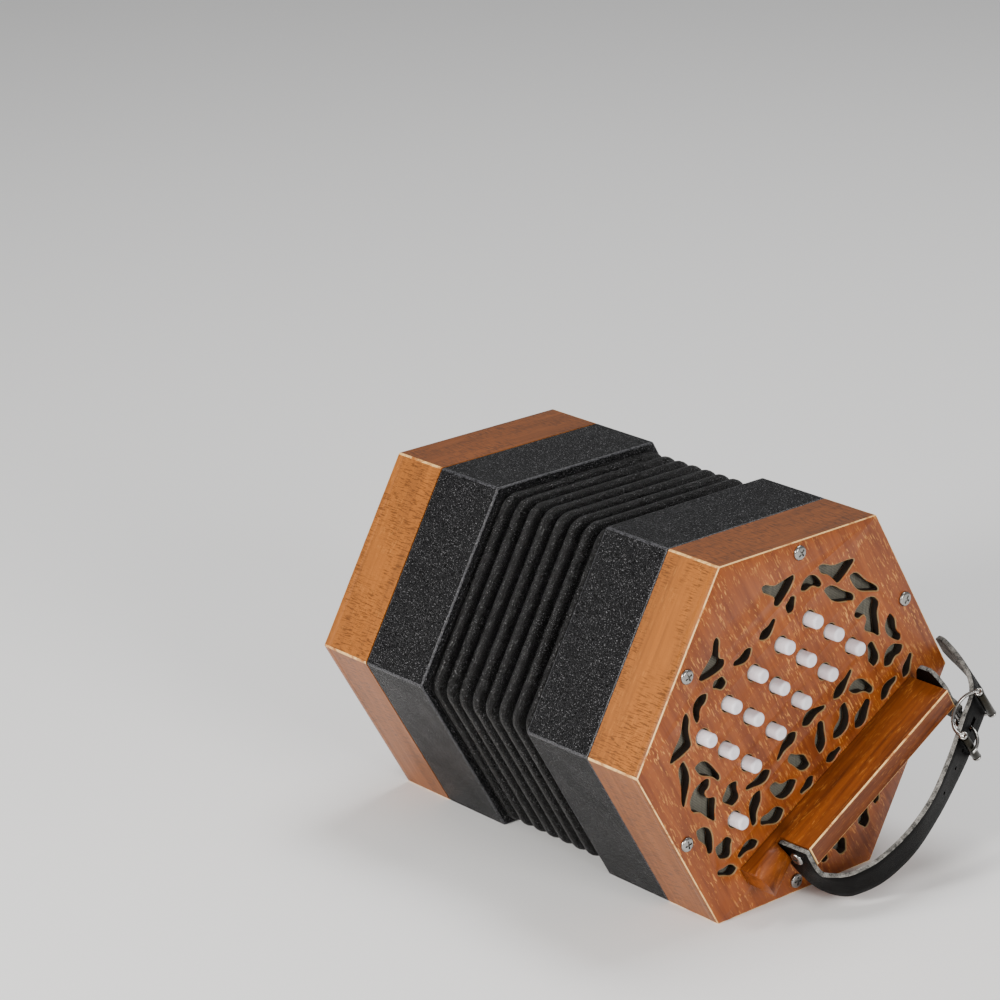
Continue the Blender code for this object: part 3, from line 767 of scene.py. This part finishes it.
def pearl_finish(colour):
    """Cloudy pearl with faint bands under a polished surface."""
    tree, shader = new_finish("pearl")
    clouds = stretched_noise(tree, object_vector(tree), (300, 120, 300), 3, 1.2)
    feed(tree, shader, {"Base Color": mix(tree, clouds, scaled(colour, 0.86), scaled(colour, 1.10)),
                        "Roughness": 0.25, "Subsurface Weight": 0.15,
                        "Subsurface Radius": (0.002, 0.0018, 0.0018), "Subsurface Scale": 1.0})


def metal_finish(name, colour, rough):
    """Plated metal with small rubbed and clouded patches."""
    tree, shader = new_finish(name)
    clouds = stretched_noise(tree, object_vector(tree), 420, 4, 0.5)
    feed(tree, shader, {"Base Color": mix(tree, clouds, scaled(colour, 0.55), colour), "Metallic": 1.0,
                        "Roughness": spread(tree, clouds, to_low=rough + 0.15, to_high=rough - 0.05),
                        "Normal": bump(tree, clouds, 0.12, 0.0002)})


def dark_cut_finish():
    """The dark cut walls of the fretwork."""
    tree, shader = new_finish("charred_cut")
    dark_mottle = stretched_noise(tree, object_vector(tree), 900)
    # The cut walls are coloured near black with a fine mottle.
    feed(tree, shader, {"Base Color": mix(tree, dark_mottle, (0.006, 0.004, 0.003), (0.035, 0.018, 0.009)),
                        "Roughness": 0.75})


class CONCERTINA_OT_finishes(bpy.types.Operator):
    """Make the wood, leather, cloth, pearl and metal finishes"""
    bl_idname = "concertina.finishes"
    bl_label = "Finishes"

    def execute(self, context):
        chosen = context.scene.concertina_colours
        wood_grain_group()
        pebble_group()
        weave_group()
        wood, deep, fleck = tuple(chosen.wood), tuple(chosen.wood_deep), tuple(chosen.fleck)
        wall, bare = tuple(chosen.wall), tuple(chosen.bare)
        wood_finish("plate_wood", plate_vector, wood, deep, fleck, 0.85, 0.36)
        wood_finish("rail_wood", rail_vector, scaled(wood, 0.74), scaled(deep, 0.5), fleck, 0.25, 0.34)
        wood_finish("wall_wood", board_vector, wall, scaled(wall, 0.62), fleck, 0.20, 0.40, 0.80,
                    "board_tint")
        arris_finish("worn_arris", bare, wall)
        arris_finish("fret_edge", scaled(bare, 0.32), wood)
        dark_cut_finish()
        # The casing cloth and the bellows leather take painted highlight spots in the grey given last.
        leather_finish("casing_cloth", tuple(chosen.casing), 1150.0, 0.38, 1.0, 0.12, 0.22)
        # Painted highlight: the casing's rounded edges in a grey six times the casing's black.
        leather_finish("rubbed_cloth", scaled(chosen.casing, 6), 1150.0, 0.34, 0.5, 0.4)
        leather_finish("bellows_leather", tuple(chosen.leather), 1900.0, 0.28, 0.9, 0.24, 0.20)
        leather_finish("strap_leather", scaled(chosen.leather, 0.4), 2600.0, 0.42, 0.2, 0.05)
        flesh_finish(tuple(chosen.flesh))
        cloth_finish(tuple(chosen.cloth))
        pearl_finish(tuple(chosen.pearl))
        metal_finish("nickel", tuple(chosen.nickel), 0.20)
        metal_finish("dull_nickel", tuple(chosen.dull_nickel), 0.24)
        return {"FINISHED"}


# End plates and cloth

def plate_face_finish(face, sizes):
    """Which of the plate's finishes a face takes, from its slope and its distance from the middle."""
    slope = abs(face.normal.z)
    x, y = face.center.xy
    reach = max(abs(x * math.cos(angle) + y * math.sin(angle))
                for angle in (0.0, math.radians(60), math.radians(120)))
    near_corner = math.hypot(x, y) > CORNER_RADIUS - 2 * sizes.arris
    on_rim = reach > APOTHEM - sizes.fret_round * 1.2 or near_corner
    if slope > 0.95:
        return FLAT
    if slope > 0.08:
        return ARRIS if on_rim else FRET_EDGE
    if on_rim:
        return ARRIS if near_corner else WALL
    return CUT


def fret_plate(hand, sizes):
    """The fretted plate: its hexagon, fretwork and button holes, with dark cut walls."""
    loops = [softened_hexagon(sizes.arris)] + fret_loops(sizes.fret_points)
    plate = curve_piece(hand + "_fretwork", loops + button_holes(hand, BUTTON_CLEARANCE, 28),
                        flat_half=PLATE_THICKNESS / 2, bevel=sizes.fret_round, resolution=1)
    wear(plate, *PLATE_FINISHES)
    for face in plate.data.polygons:
        face.material_index = plate_face_finish(face, sizes)
    place_in_end(plate, hand, Matrix.Translation((0, 0, -PLATE_THICKNESS / 2)))
    board_map(plate)
    smooth(plate, 50)
    return plate


def baffle_cloth(hand):
    """Cloth glued under the plate, with a hole for each button."""
    loops = [hexagon_loop(CLOTH_RADIUS)] + button_holes(hand, CLOTH_CLEARANCE, 20)
    cloth = curve_piece(hand + "_baffle_cloth", loops, flat_half=CLOTH_HALF)
    wear(cloth, "baffle_cloth")
    return place_in_end(cloth, hand, Matrix.Translation((0, 0, -PLATE_THICKNESS - CLOTH_DROP)))


class CONCERTINA_OT_end_plates(bpy.types.Operator):
    """Build the two fretted end plates and the cloth behind them"""
    bl_idname = "concertina.end_plates"
    bl_label = "End plates"

    def execute(self, context):
        for hand in HANDS:
            plate = fret_plate(hand, context.scene.concertina_sizes)
            dress(plate, hand + "_end", [hand + "_end_plate"])
            cloth = baffle_cloth(hand)
            dress(cloth, hand + "_end")
        return {"FINISHED"}


# End frames and casings

def board_map(obj):
    """Maps each wall of a hexagonal ring as one board, with U along the wall, and gives the wall its tint of
    painted shade.
    """
    shade = obj.data.attributes.new("board_tint", "FLOAT_COLOR", "CORNER")
    layer = obj.data.uv_layers.new(name="boards")
    for face in obj.data.polygons:
        middle = face.center - BODY_MIDDLE
        around = math.atan2(middle.z, middle.y)
        wall = round((around - math.radians(90)) / math.radians(60)) % 6
        angle = math.radians(90 + 60 * wall)
        along = Vector((0.0, -math.sin(angle), math.cos(angle)))
        for loop in face.loop_indices:
            point = obj.data.vertices[obj.data.loops[loop].vertex_index].co - BODY_MIDDLE
            layer.data[loop].uv = (point.dot(along) + 0.31 * wall, point.x + 0.05 * wall)
            shade.data[loop].color = (*WALL_SHADE_TINTS[wall], 1.0)


def end_frame(sizes):
    """The walls, run on to the plate's straight rim, with worn arrises along the corners."""
    obj = cad_copy("right_end_frame", "right_wooden_frame", "wall_wood", "worn_arris")
    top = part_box("right_end_frame")[1].x
    outer = FRAME_INNER + FRAME_WALL / 2
    edit(obj)
    choose(obj, "VERT", lambda vert: vert.co.x > top - MM)
    bpy.ops.transform.translate(value=(HALF_LENGTH - PLATE_THICKNESS + sizes.fret_round - top, 0, 0))
    choose(obj, "EDGE", lambda edge: all((vert.co - BODY_MIDDLE).yz.length > outer for vert in edge.verts)
           and edge.calc_length() < 0.05)
    bpy.ops.mesh.bevel(offset=sizes.arris, segments=3, affect="EDGES", material=1)
    leave_edit()
    return obj


class CONCERTINA_OT_end_frames(bpy.types.Operator):
    """Build the wooden walls of both ends"""
    bl_idname = "concertina.end_frames"
    bl_label = "End frames"

    def execute(self, context):
        right = end_frame(context.scene.concertina_sizes)
        for obj in both_hands(right, "_end_frame", 50, True):
            board_map(obj)
        for hand in HANDS:
            for name in ("_action_board", "_reed_pan"):
                wear(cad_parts[hand + name], "rail_wood")
        return {"FINISHED"}


class CONCERTINA_OT_casings(bpy.types.Operator):
    """Build the black casings between the ends and the bellows"""
    bl_idname = "concertina.casings"
    bl_label = "Casings"

    def execute(self, context):
        right = cad_copy("right_bellows_casing", "right_casing_cover", "casing_cloth", "rubbed_cloth")
        # The rounded edges take the second finish, a painted highlight.
        round_edges(right, context.scene.concertina_sizes.casing_round, 4, 40, material=1)
        both_hands(right, "_bellows_casing", 50, True)
        return {"FINISHED"}


# Bellows

def ring_loft(name, stations, corner):
    """A hexagonal skin through stations of place along X and corner radius, with rounded corners."""
    start, radius = stations[0]
    middle = (start, BODY_MIDDLE.y, BODY_MIDDLE.z)
    obj = added(name, bpy.ops.mesh.primitive_circle_add, vertices=6, radius=radius, location=middle,
                rotation=(0, math.pi / 2, 0))
    flat_down = max(abs(vert.co.z - BODY_MIDDLE.z) for vert in obj.data.vertices) < radius * 0.95
    edit(obj)
    if not flat_down:
        bpy.ops.transform.rotate(value=math.radians(30), orient_axis="X", center_override=middle)
    bpy.ops.mesh.bevel(offset=corner, offset_type="OFFSET", segments=4, affect="VERTICES")
    for (before, near), (after, far) in zip(stations, stations[1:]):
        bpy.ops.mesh.extrude_region_move(TRANSFORM_OT_translate={"value": (after - before, 0, 0)})
        bpy.ops.transform.resize(value=(1, far / near, far / near),
                                 center_override=(after, BODY_MIDDLE.y, BODY_MIDDLE.z))
    bpy.ops.mesh.select_all(action="SELECT")
    bpy.ops.mesh.normals_make_consistent(inside=False)
    leave_edit()
    return obj


def facing_out(obj):
    """True if an open skin's faces look away from the bellows' middle line."""
    total = 0.0
    for face in obj.data.polygons:
        away = face.center - BODY_MIDDLE
        away.x = 0.0
        total += face.normal.dot(away)
    return total > 0


def skin(name, stations, corner, thickness):
    """A loft with its thickness inwards, in bellows leather."""
    obj = ring_loft(name, stations, corner)
    if not facing_out(obj):
        obj.data.flip_normals()
    modify(obj, "SOLIDIFY", thickness=thickness, offset=-1.0)
    smooth(obj, 60)
    wear(obj, "bellows_leather")
    return obj


def ridge_profile(x, half):
    """The nose of one ridge: a narrow rounded band."""
    shape = ((-1.0, 0.0052), (-0.95, 0.0020), (-0.78, 0.0007), (-0.42, 0.0001), (0.0, 0.0))
    left = [(x + part * half, RIDGE_RADIUS - drop) for part, drop in shape]
    return left + [(2 * x - place, radius) for place, radius in reversed(left[:-1])]


def valley_profile(low, high, depth, from_wall, to_wall):
    """The card walls between two ridges, down to a soft valley and up again, or out to a casing's flange."""
    floor = RIDGE_RADIUS - depth
    middle = (low + high) / 2
    span = high - low
    rise, landing = (low + CREST_LAP, CREST_RADIUS), (high - CREST_LAP, CREST_RADIUS)
    if from_wall:
        return [(low + 0.0003, CASING_FLANGE), (low + 0.0005, floor), (low + span * 0.25, floor), landing]
    if to_wall:
        return [rise, (high - span * 0.25, floor), (high - 0.0005, floor), (high - 0.0003, CASING_FLANGE)]
    bed = [(middle + span * part, floor + lift) for part, lift in (
        (-0.20, VALLEY_SHOULDER), (-0.07, VALLEY_SOFTNESS), (0.0, 0.0),
        (0.07, VALLEY_SOFTNESS), (0.20, VALLEY_SHOULDER))]
    return [rise, *bed, landing]


class CONCERTINA_OT_bellows(bpy.types.Operator):
    """Build the bellows: a leather ridge on each fold and card walls between them"""
    bl_idname = "concertina.bellows"
    bl_label = "Bellows"

    def execute(self, context):
        sizes = context.scene.concertina_sizes
        stops = [-CASING_FACE]
        for number in range(1, FOLD_COUNT + 1):
            low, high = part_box(f"bellows_fold_{number}")
            x = (low.x + high.x) / 2
            ridge = skin(f"bellows_ridge_{number}", ridge_profile(x, sizes.ridge_half), RIDGE_CORNER,
                         RIDGE_LEATHER)
            dress(ridge, f"fold_{number}", [f"bellows_fold_{number}"])
            stops.append(x)
        stops.append(CASING_FACE)
        for index, (low, high) in enumerate(zip(stops, stops[1:])):
            profile = valley_profile(low, high, sizes.valley_depth, index == 0, index == FOLD_COUNT)
            wall = skin(f"bellows_wall_{index + 1}", profile, WALL_CORNER, WALL_CARD)
            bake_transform(wall)
        return {"FINISHED"}


# Buttons

def button_master():
    """A pearl button with a rounded edge, a faint dish on top and a guide peg under its skirt."""
    obj = added("button_master", bpy.ops.mesh.primitive_cylinder_add, vertices=32, radius=BUTTON_RADIUS,
                depth=BUTTON_HEIGHT + BUTTON_SKIRT, location=(0, 0, (BUTTON_HEIGHT - BUTTON_SKIRT) / 2))
    edit(obj, "DESELECT")
    choose(obj, "EDGE", lambda edge: all(vert.co.z > BUTTON_HEIGHT - 0.0001 for vert in edge.verts))
    bpy.ops.mesh.bevel(offset=0.0013, segments=5, affect="EDGES")
    choose(obj, "FACE", lambda face: face.normal.z > 0.99 and len(face.verts) > 8)
    bpy.ops.mesh.inset(thickness=0.0006, depth=-0.00004)
    bpy.ops.mesh.inset(thickness=0.0008, depth=-0.00006)
    choose(obj, "FACE", lambda face: face.normal.z < -0.99)
    bpy.ops.mesh.inset(thickness=BUTTON_RADIUS - PEG_RADIUS)
    bpy.ops.mesh.extrude_region_move(TRANSFORM_OT_translate={"value": (0, 0, -PEG_DEPTH)})
    leave_edit()
    smooth(obj, 40)
    wear(obj, "pearl")
    return obj


class CONCERTINA_OT_buttons(bpy.types.Operator):
    """Build the pearl buttons, each on its own sliding body"""
    bl_idname = "concertina.buttons"
    bl_label = "Buttons"

    def execute(self, context):
        master = button_master()
        for hand in HANDS:
            for index, (x, y) in enumerate(button_places(hand)):
                title = f"{hand}_button_{index + 1}" if index < BUTTON_COUNT else f"{hand}_air_button"
                pearl = copy_of(master, title.replace("button", "pearl"))
                turn = Matrix.Rotation(index * PEARL_TURN, 4, "Z")
                place_in_end(pearl, hand, Matrix.Translation((x, y, 0)) @ turn)
                dress(pearl, title, [title])
        bpy.data.objects.remove(master, do_unlink=True)
        return {"FINISHED"}


# Hand rails

def hand_rail(sizes):
    """The rail, with its outer arrises worn pale and its other long corners eased."""
    obj = cad_copy("right_hand_rail", "right_rail", "rail_wood", "worn_arris")
    edge_of_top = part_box("right_hand_rail")[1].x - MM
    edit(obj)
    choose(obj, "EDGE", lambda edge: all(vert.co.x > edge_of_top for vert in edge.verts))
    bpy.ops.mesh.bevel(offset=sizes.arris * 0.8, segments=3, affect="EDGES", material=1)
    choose(obj, "EDGE", lambda edge: all(vert.co.x < edge_of_top for vert in edge.verts)
           and edge.calc_length() > 0.004 and len(edge.link_faces) == 2
           and 1.2 < edge.calc_face_angle() < 1.9)
    bpy.ops.mesh.bevel(offset=sizes.arris * 0.5, segments=2, affect="EDGES")
    leave_edit()
    return obj


class CONCERTINA_OT_hand_rails(bpy.types.Operator):
    """Build the two hand rails"""
    bl_idname = "concertina.hand_rails"
    bl_label = "Hand rails"

    def execute(self, context):
        right = hand_rail(context.scene.concertina_sizes)
        both_hands(right, "_hand_rail", 40, True)
        return {"FINISHED"}


# Straps

def smooth_point(points, place):
    """A point of the smooth curve through the points, at a whole or part point number."""
    last = len(points) - 1
    index = min(int(place), last - 1)
    part = place - index
    a, b, c, d = (Vector(points[min(max(index + step, 0), last)]) for step in (-1, 0, 1, 2))
    return b + 0.5 * part * (c - a + part * (2 * a - 5 * b + 4 * c - d + part * (3 * (b - c) + d - a)))


def square_to(lean, run):
    """The direction nearest to the lean that is square to the run."""
    return (lean - lean.dot(run) * run).normalized()


def turn_to(run, width):
    """The turn that lays X along the run and Y across it."""
    return Matrix((run, width, run.cross(width))).transposed().to_4x4()


def strap_section(stations, place):
    """Middle, run and width direction of a strap at a station number, in metres in the play frame."""
    middles = [middle for middle, _ in stations]
    step = 0.05
    run = (smooth_point(middles, min(place + step, len(stations) - 1))
           - smooth_point(middles, max(place - step, 0))).normalized()
    lean = smooth_point([lean for _, lean in stations], place)
    return smooth_point(middles, place) * MM, run, square_to(lean, run)


def ribbon(name, stations, thickness, steps, edge, tapers_at_end):
    """A leather strap as an open strip with one narrowed tip, then its thickness and its rounded edges."""
    shape = bmesh.new()
    rows = []
    count = (len(stations) - 1) * steps
    for index in range(count + 1):
        middle, _, width = strap_section(stations, index / steps)
        from_tip = count - index + 2.2 if tapers_at_end else index + 0.8
        half = STRAP_WIDTH / 2 * min(1.0, math.sqrt(from_tip / 7.5))
        rows.append([shape.verts.new(middle + width * half * part) for part in (-1, -0.55, 0, 0.55, 1)])
    for near, far in zip(rows, rows[1:]):
        for index in range(4):
            shape.faces.new((near[index], far[index], far[index + 1], near[index + 1]))
    mesh = bpy.data.meshes.new(name)
    shape.to_mesh(mesh)
    shape.free()
    obj = linked(name, mesh)
    wear(obj, "strap_leather", "flesh_leather")
    modify(obj, "SOLIDIFY", thickness=thickness, offset=0.0, use_even_offset=True, material_offset=1,
           material_offset_rim=1)
    round_edges(obj, edge, 2, 50)
    return obj


def strap_punches():
    """One small round punch for each hole, and the slot that lets the prong through."""
    tools = []
    for place in STRAP_HOLES:
        middle, run, width = strap_section(STRAP_ROUTE, place)
        tool = added("punch", bpy.ops.mesh.primitive_cylinder_add, vertices=16, radius=0.0010, depth=0.008)
        tool.matrix_world = Matrix.Translation(middle) @ turn_to(run, width)
        tools.append(tool)
    slot = added("slot_punch", bpy.ops.mesh.primitive_cube_add, size=1.0)
    slot.matrix_world = buckle_frame() @ Matrix.Translation((-0.0004, 0, 0)) @ Matrix.Diagonal(
        (0.0076, 0.0030, 0.008, 1))
    return join(tools + [slot], "punch_tool")


class CONCERTINA_OT_straps(bpy.types.Operator):
    """Build the hand straps and the straps that hold the buckles"""
    bl_idname = "concertina.straps"
    bl_label = "Straps"

    def execute(self, context):
        long = ribbon("right_leather_hand_strap", STRAP_ROUTE, STRAP_THICKNESS, 8, 0.0005, True)
        cut(long, strap_punches())
        short = ribbon("right_leather_buckle_strap", BUCKLE_STRAP_ROUTE, BUCKLE_STRAP_THICKNESS, 6, 0.0004,
                       False)
        for strap, node_name in ((long, "_hand_strap"), (short, "_buckle_strap")):
            settle(strap, PLAY_FRAME)
            both_hands(strap, node_name, 45)
        return {"FINISHED"}


# Buckles

def buckle_frame():
    """The buckle's axes in the play frame: x along the strap, y across it, z outwards."""
    before, middle, after = (Vector(STRAP_ROUTE[BUCKLE_STATION + step][0]) * MM for step in (-1, 0, 1))
    along = (after - before).normalized()
    across = square_to(Vector(STRAP_ROUTE[BUCKLE_STATION][1]), along)
    return Matrix.Translation(middle) @ turn_to(along, across)


def buckle_wire():
    """The bowed wire loop, the middle bar and the eyes at the rollers' ends."""
    reach = BUCKLE_SPAN / 2
    arm = []
    for index in range(21):
        angle = math.pi * index / 20
        arm.append((reach * math.cos(angle), ROLLER_OUT - (ROLLER_OUT + BAR_IN) * math.sin(angle)))
    loop = [(x, -BUCKLE_HALF_WIDTH, z) for x, z in arm]
    loop += [(x, BUCKLE_HALF_WIDTH, z) for x, z in reversed(arm)]
    bar = [(0, y, -BAR_IN) for y in (-BUCKLE_HALF_WIDTH, BUCKLE_HALF_WIDTH)]
    parts = [curve_piece("wire", [loop], bevel=WIRE_RADIUS, resolution=3),
             curve_piece("bar", [bar], cyclic=False, bevel=WIRE_RADIUS, resolution=3)]
    for x in (-reach, reach):
        for y in (-BUCKLE_HALF_WIDTH, BUCKLE_HALF_WIDTH):
            parts.append(added("eye", bpy.ops.mesh.primitive_torus_add, major_radius=0.0015,
                               minor_radius=0.00075, major_segments=24, minor_segments=10,
                               location=(x, y, ROLLER_OUT), rotation=(math.pi / 2, 0, 0)))
    return join(parts, "right_buckle_wire")


def buckle_rollers():
    """The two tubes that turn on the wire, with rolled ends."""
    rollers = []
    for x in (-BUCKLE_SPAN / 2, BUCKLE_SPAN / 2):
        obj = added("roller", bpy.ops.mesh.primitive_cylinder_add, vertices=32, radius=ROLLER_RADIUS,
                    depth=2 * BUCKLE_HALF_WIDTH - 0.0032, location=(x, 0, ROLLER_OUT),
                    rotation=(math.pi / 2, 0, 0))
        edit(obj, "DESELECT")
        choose(obj, "FACE", lambda face: len(face.verts) > 8)
        bpy.ops.mesh.inset(thickness=0.0007)
        bpy.ops.mesh.extrude_region_move(TRANSFORM_OT_translate={"value": (0, 0, 0)})
        leave_edit()
        round_edges(obj, 0.0003, 3, 50)
        rollers.append(obj)
    return join(rollers, "right_buckle_rollers")


def buckle_prong():
    """The prong, from its eye on the middle bar to its tip on the far roller."""
    tip = -BUCKLE_SPAN / 2
    rise = ROLLER_OUT + BAR_IN + ROLLER_RADIUS + PRONG_RADIUS + 0.0003
    guides = [(0, 0, PRONG_EYE_RADIUS)] + [(out * tip, 0, up * rise) for out, up in (
        (0.10, 0.40), (0.32, 0.71), (0.66, 0.94), (1.0, 1.0), (1.25, 0.92))]
    points = [tuple(smooth_point(guides, index / 6)) for index in range(31)]
    stem = curve_piece("stem", [points], cyclic=False, bevel=PRONG_RADIUS, resolution=3)
    eye = added("prong_eye", bpy.ops.mesh.primitive_torus_add, major_radius=PRONG_EYE_RADIUS,
                minor_radius=PRONG_RADIUS, major_segments=32, minor_segments=12, rotation=(math.pi / 2, 0, 0))
    return settle(join([stem, eye], "right_prong"), Matrix.Translation((0, 0, -BAR_IN)))


class CONCERTINA_OT_buckles(bpy.types.Operator):
    """Build the buckles with their rollers and prongs"""
    bl_idname = "concertina.buckles"
    bl_label = "Buckles"

    def execute(self, context):
        parts = ((buckle_wire(), "nickel", "bright_nickel", "_end", "_buckle"),
                 (buckle_rollers(), "dull_nickel", "dark_nickel", "_end", None),
                 (buckle_prong(), "nickel", "bright_nickel", "_buckle_prong", "_buckle_prong"))
        for right, finish, slot, body, node_name in parts:
            settle(right, PLAY_FRAME @ buckle_frame())
            wear(right, finish)
            both_hands(right, node_name, 40, body=body)
        return {"FINISHED"}


# Bolts and screws

def screw_head(name, radius, height):
    """A domed head with a crossed recess."""
    obj = added(name, bpy.ops.mesh.primitive_cylinder_add, vertices=32, radius=radius, depth=height,
                location=(0, 0, height / 2))
    edit(obj, "DESELECT")
    choose(obj, "EDGE", lambda edge: all(vert.co.z > height * 0.9 for vert in edge.verts))
    bpy.ops.mesh.bevel(offset=height * 0.85, segments=5, affect="EDGES")
    choose(obj, "FACE", lambda face: face.normal.z > 0.99 and len(face.verts) > 8)
    bpy.ops.mesh.inset(thickness=radius * 0.3, depth=height * 0.08)
    leave_edit()
    for turn in (0, math.pi / 2):
        cut(obj, added("recess", bpy.ops.mesh.primitive_cube_add, size=1.0, location=(0, 0, height * 1.1),
                       rotation=(0, 0, turn), scale=(radius * 1.15, radius * 0.26, height * 1.2)))
    wear(obj, "nickel")
    return obj


class CONCERTINA_OT_fasteners(bpy.types.Operator):
    """Set the end bolts round each plate and the screws that hold the straps"""
    bl_idname = "concertina.fasteners"
    bl_label = "Bolts and screws"

    def execute(self, context):
        sizes = context.scene.concertina_sizes
        master = screw_head("bolt_master", sizes.bolt_radius, BOLT_HEIGHT)
        heads = []
        for index in range(6):
            angle = math.radians(60 * index)
            place = Matrix.Translation(
                (BOLT_CIRCLE * math.cos(angle), BOLT_CIRCLE * math.sin(angle), HEAD_LIFT))
            turn = Matrix.Rotation(0.5 + 1.3 * index, 4, "Z")
            heads.append(settle(copy_of(master, f"right_end_bolt_{index + 1}"), PLAY_FRAME @ place @ turn))
        bpy.data.objects.remove(master, do_unlink=True)
        middle, run, width = strap_section(STRAP_ROUTE, STRAP_SCREW_STATION)
        place = Matrix.Translation(middle) @ turn_to(run, width) @ Matrix.Rotation(0.4, 4, "Z")
        lift = Matrix.Translation((0, 0, STRAP_THICKNESS / 2 + HEAD_LIFT))
        screw = screw_head("right_strap_screw", SCREW_RADIUS, SCREW_HEIGHT)
        heads.append(settle(screw, PLAY_FRAME @ place @ lift))
        for right in heads:
            both_hands(right, None, 35)
        return {"FINISHED"}


# Stage

CAMERA_AZIMUTH = math.radians(49.437)
CAMERA_ELEVATION = math.radians(19.167)
CAMERA_ROLL = math.radians(-1.101)
CAMERA_LENS = 125.99
CAMERA_AIM = (-0.6183, 0.7323, 16.754)
CAMERA_SLIDE = -0.0172


def camera():
    """Places the camera by its azimuth, elevation and roll, and in corner radii from the body's middle."""
    cos_a, sin_a = math.cos(CAMERA_AZIMUTH), math.sin(CAMERA_AZIMUTH)
    cos_e, sin_e = math.cos(CAMERA_ELEVATION), math.sin(CAMERA_ELEVATION)
    back = Vector((sin_a * cos_e, -cos_a * cos_e, sin_e))
    right = Vector((cos_a, sin_a, 0.0))
    up = back.cross(right)
    turned_right = math.cos(CAMERA_ROLL) * right + math.sin(CAMERA_ROLL) * up
    turned_up = math.cos(CAMERA_ROLL) * up - math.sin(CAMERA_ROLL) * right
    offset = turned_right * CAMERA_AIM[0] + turned_up * CAMERA_AIM[1] + back * CAMERA_AIM[2]
    offset.x += CAMERA_SLIDE
    deselect()
    bpy.ops.object.camera_add()
    obj = bpy.context.active_object
    obj.matrix_world = Matrix.Translation(BODY_MIDDLE + offset * CORNER_RADIUS) @ Matrix(
        (turned_right, turned_up, back)).transposed().to_4x4()
    obj.data.lens = CAMERA_LENS
    obj.data.sensor_width = 36
    bpy.context.scene.camera = obj


def area_light(name, place, size, power, colour=(1.0, 1.0, 1.0)):
    """A soft light that looks at the middle of the bellows."""
    deselect()
    bpy.ops.object.light_add(type="AREA", location=place)
    obj = bpy.context.active_object
    obj.name = name
    obj.data.shape = "DISK"
    obj.data.size = size
    obj.data.energy = power
    obj.data.color = colour
    obj.rotation_mode = "QUATERNION"
    obj.rotation_quaternion = (Vector(place) - BODY_MIDDLE).to_track_quat("Z", "Y")


class CONCERTINA_OT_stage(bpy.types.Operator):
    """Set the floor, the studio light and the camera"""
    bl_idname = "concertina.stage"
    bl_label = "Stage"

    def execute(self, context):
        floor = added("studio_floor", bpy.ops.mesh.primitive_plane_add, size=8.0)
        tree, shader = new_finish("pale_floor")
        feed(tree, shader, {"Base Color": (0.92, 0.92, 0.92), "Roughness": 0.9})
        wear(floor, "pale_floor")
        world = bpy.data.worlds.new("studio")
        world.use_nodes = True
        sky = world.node_tree.nodes["Background"]
        feed(world.node_tree, sky, {"Color": (1.0, 1.0, 1.0), "Strength": 0.30})
        context.scene.world = world
        area_light("key_light", (0.05, -1.55, 0.70), 0.45, 30.0, (1.0, 0.97, 0.93))
        area_light("end_light", (1.7, -0.35, 0.75), 0.7, 20.0, (1.0, 0.98, 0.95))
        area_light("top_light", (-0.2, 0.7, 2.2), 1.2, 30.0)
        camera()
        return {"FINISHED"}


class CONCERTINA_PT_panel(bpy.types.Panel):
    """The steps that build the concertina, in order"""
    bl_idname = "CONCERTINA_PT_panel"
    bl_label = "Concertina"
    bl_space_type = "VIEW_3D"
    bl_region_type = "UI"
    bl_category = "Concertina"

    def draw(self, context):
        for operator in OPERATORS:
            self.layout.operator(operator.bl_idname)
        for group in (context.scene.concertina_sizes, context.scene.concertina_colours):
            for name in group.__annotations__:
                self.layout.prop(group, name)


OPERATORS = (
    CONCERTINA_OT_finishes,
    CONCERTINA_OT_end_plates,
    CONCERTINA_OT_end_frames,
    CONCERTINA_OT_casings,
    CONCERTINA_OT_bellows,
    CONCERTINA_OT_buttons,
    CONCERTINA_OT_hand_rails,
    CONCERTINA_OT_straps,
    CONCERTINA_OT_buckles,
    CONCERTINA_OT_fasteners,
    CONCERTINA_OT_stage,
)
CLASSES = (ConcertinaSizes, ConcertinaColours) + OPERATORS + (CONCERTINA_PT_panel,)


def register():
    for cls in CLASSES:
        bpy.utils.register_class(cls)
    bpy.types.Scene.concertina_sizes = bpy.props.PointerProperty(type=ConcertinaSizes)
    bpy.types.Scene.concertina_colours = bpy.props.PointerProperty(type=ConcertinaColours)


def unregister():
    del bpy.types.Scene.concertina_colours
    del bpy.types.Scene.concertina_sizes
    for cls in reversed(CLASSES):
        bpy.utils.unregister_class(cls)


def main():
    register()
    for operator in OPERATORS:
        name = operator.bl_idname.split(".")[1]
        getattr(bpy.ops.concertina, name)()
    deselect()


if __name__ == "__main__":
    main()
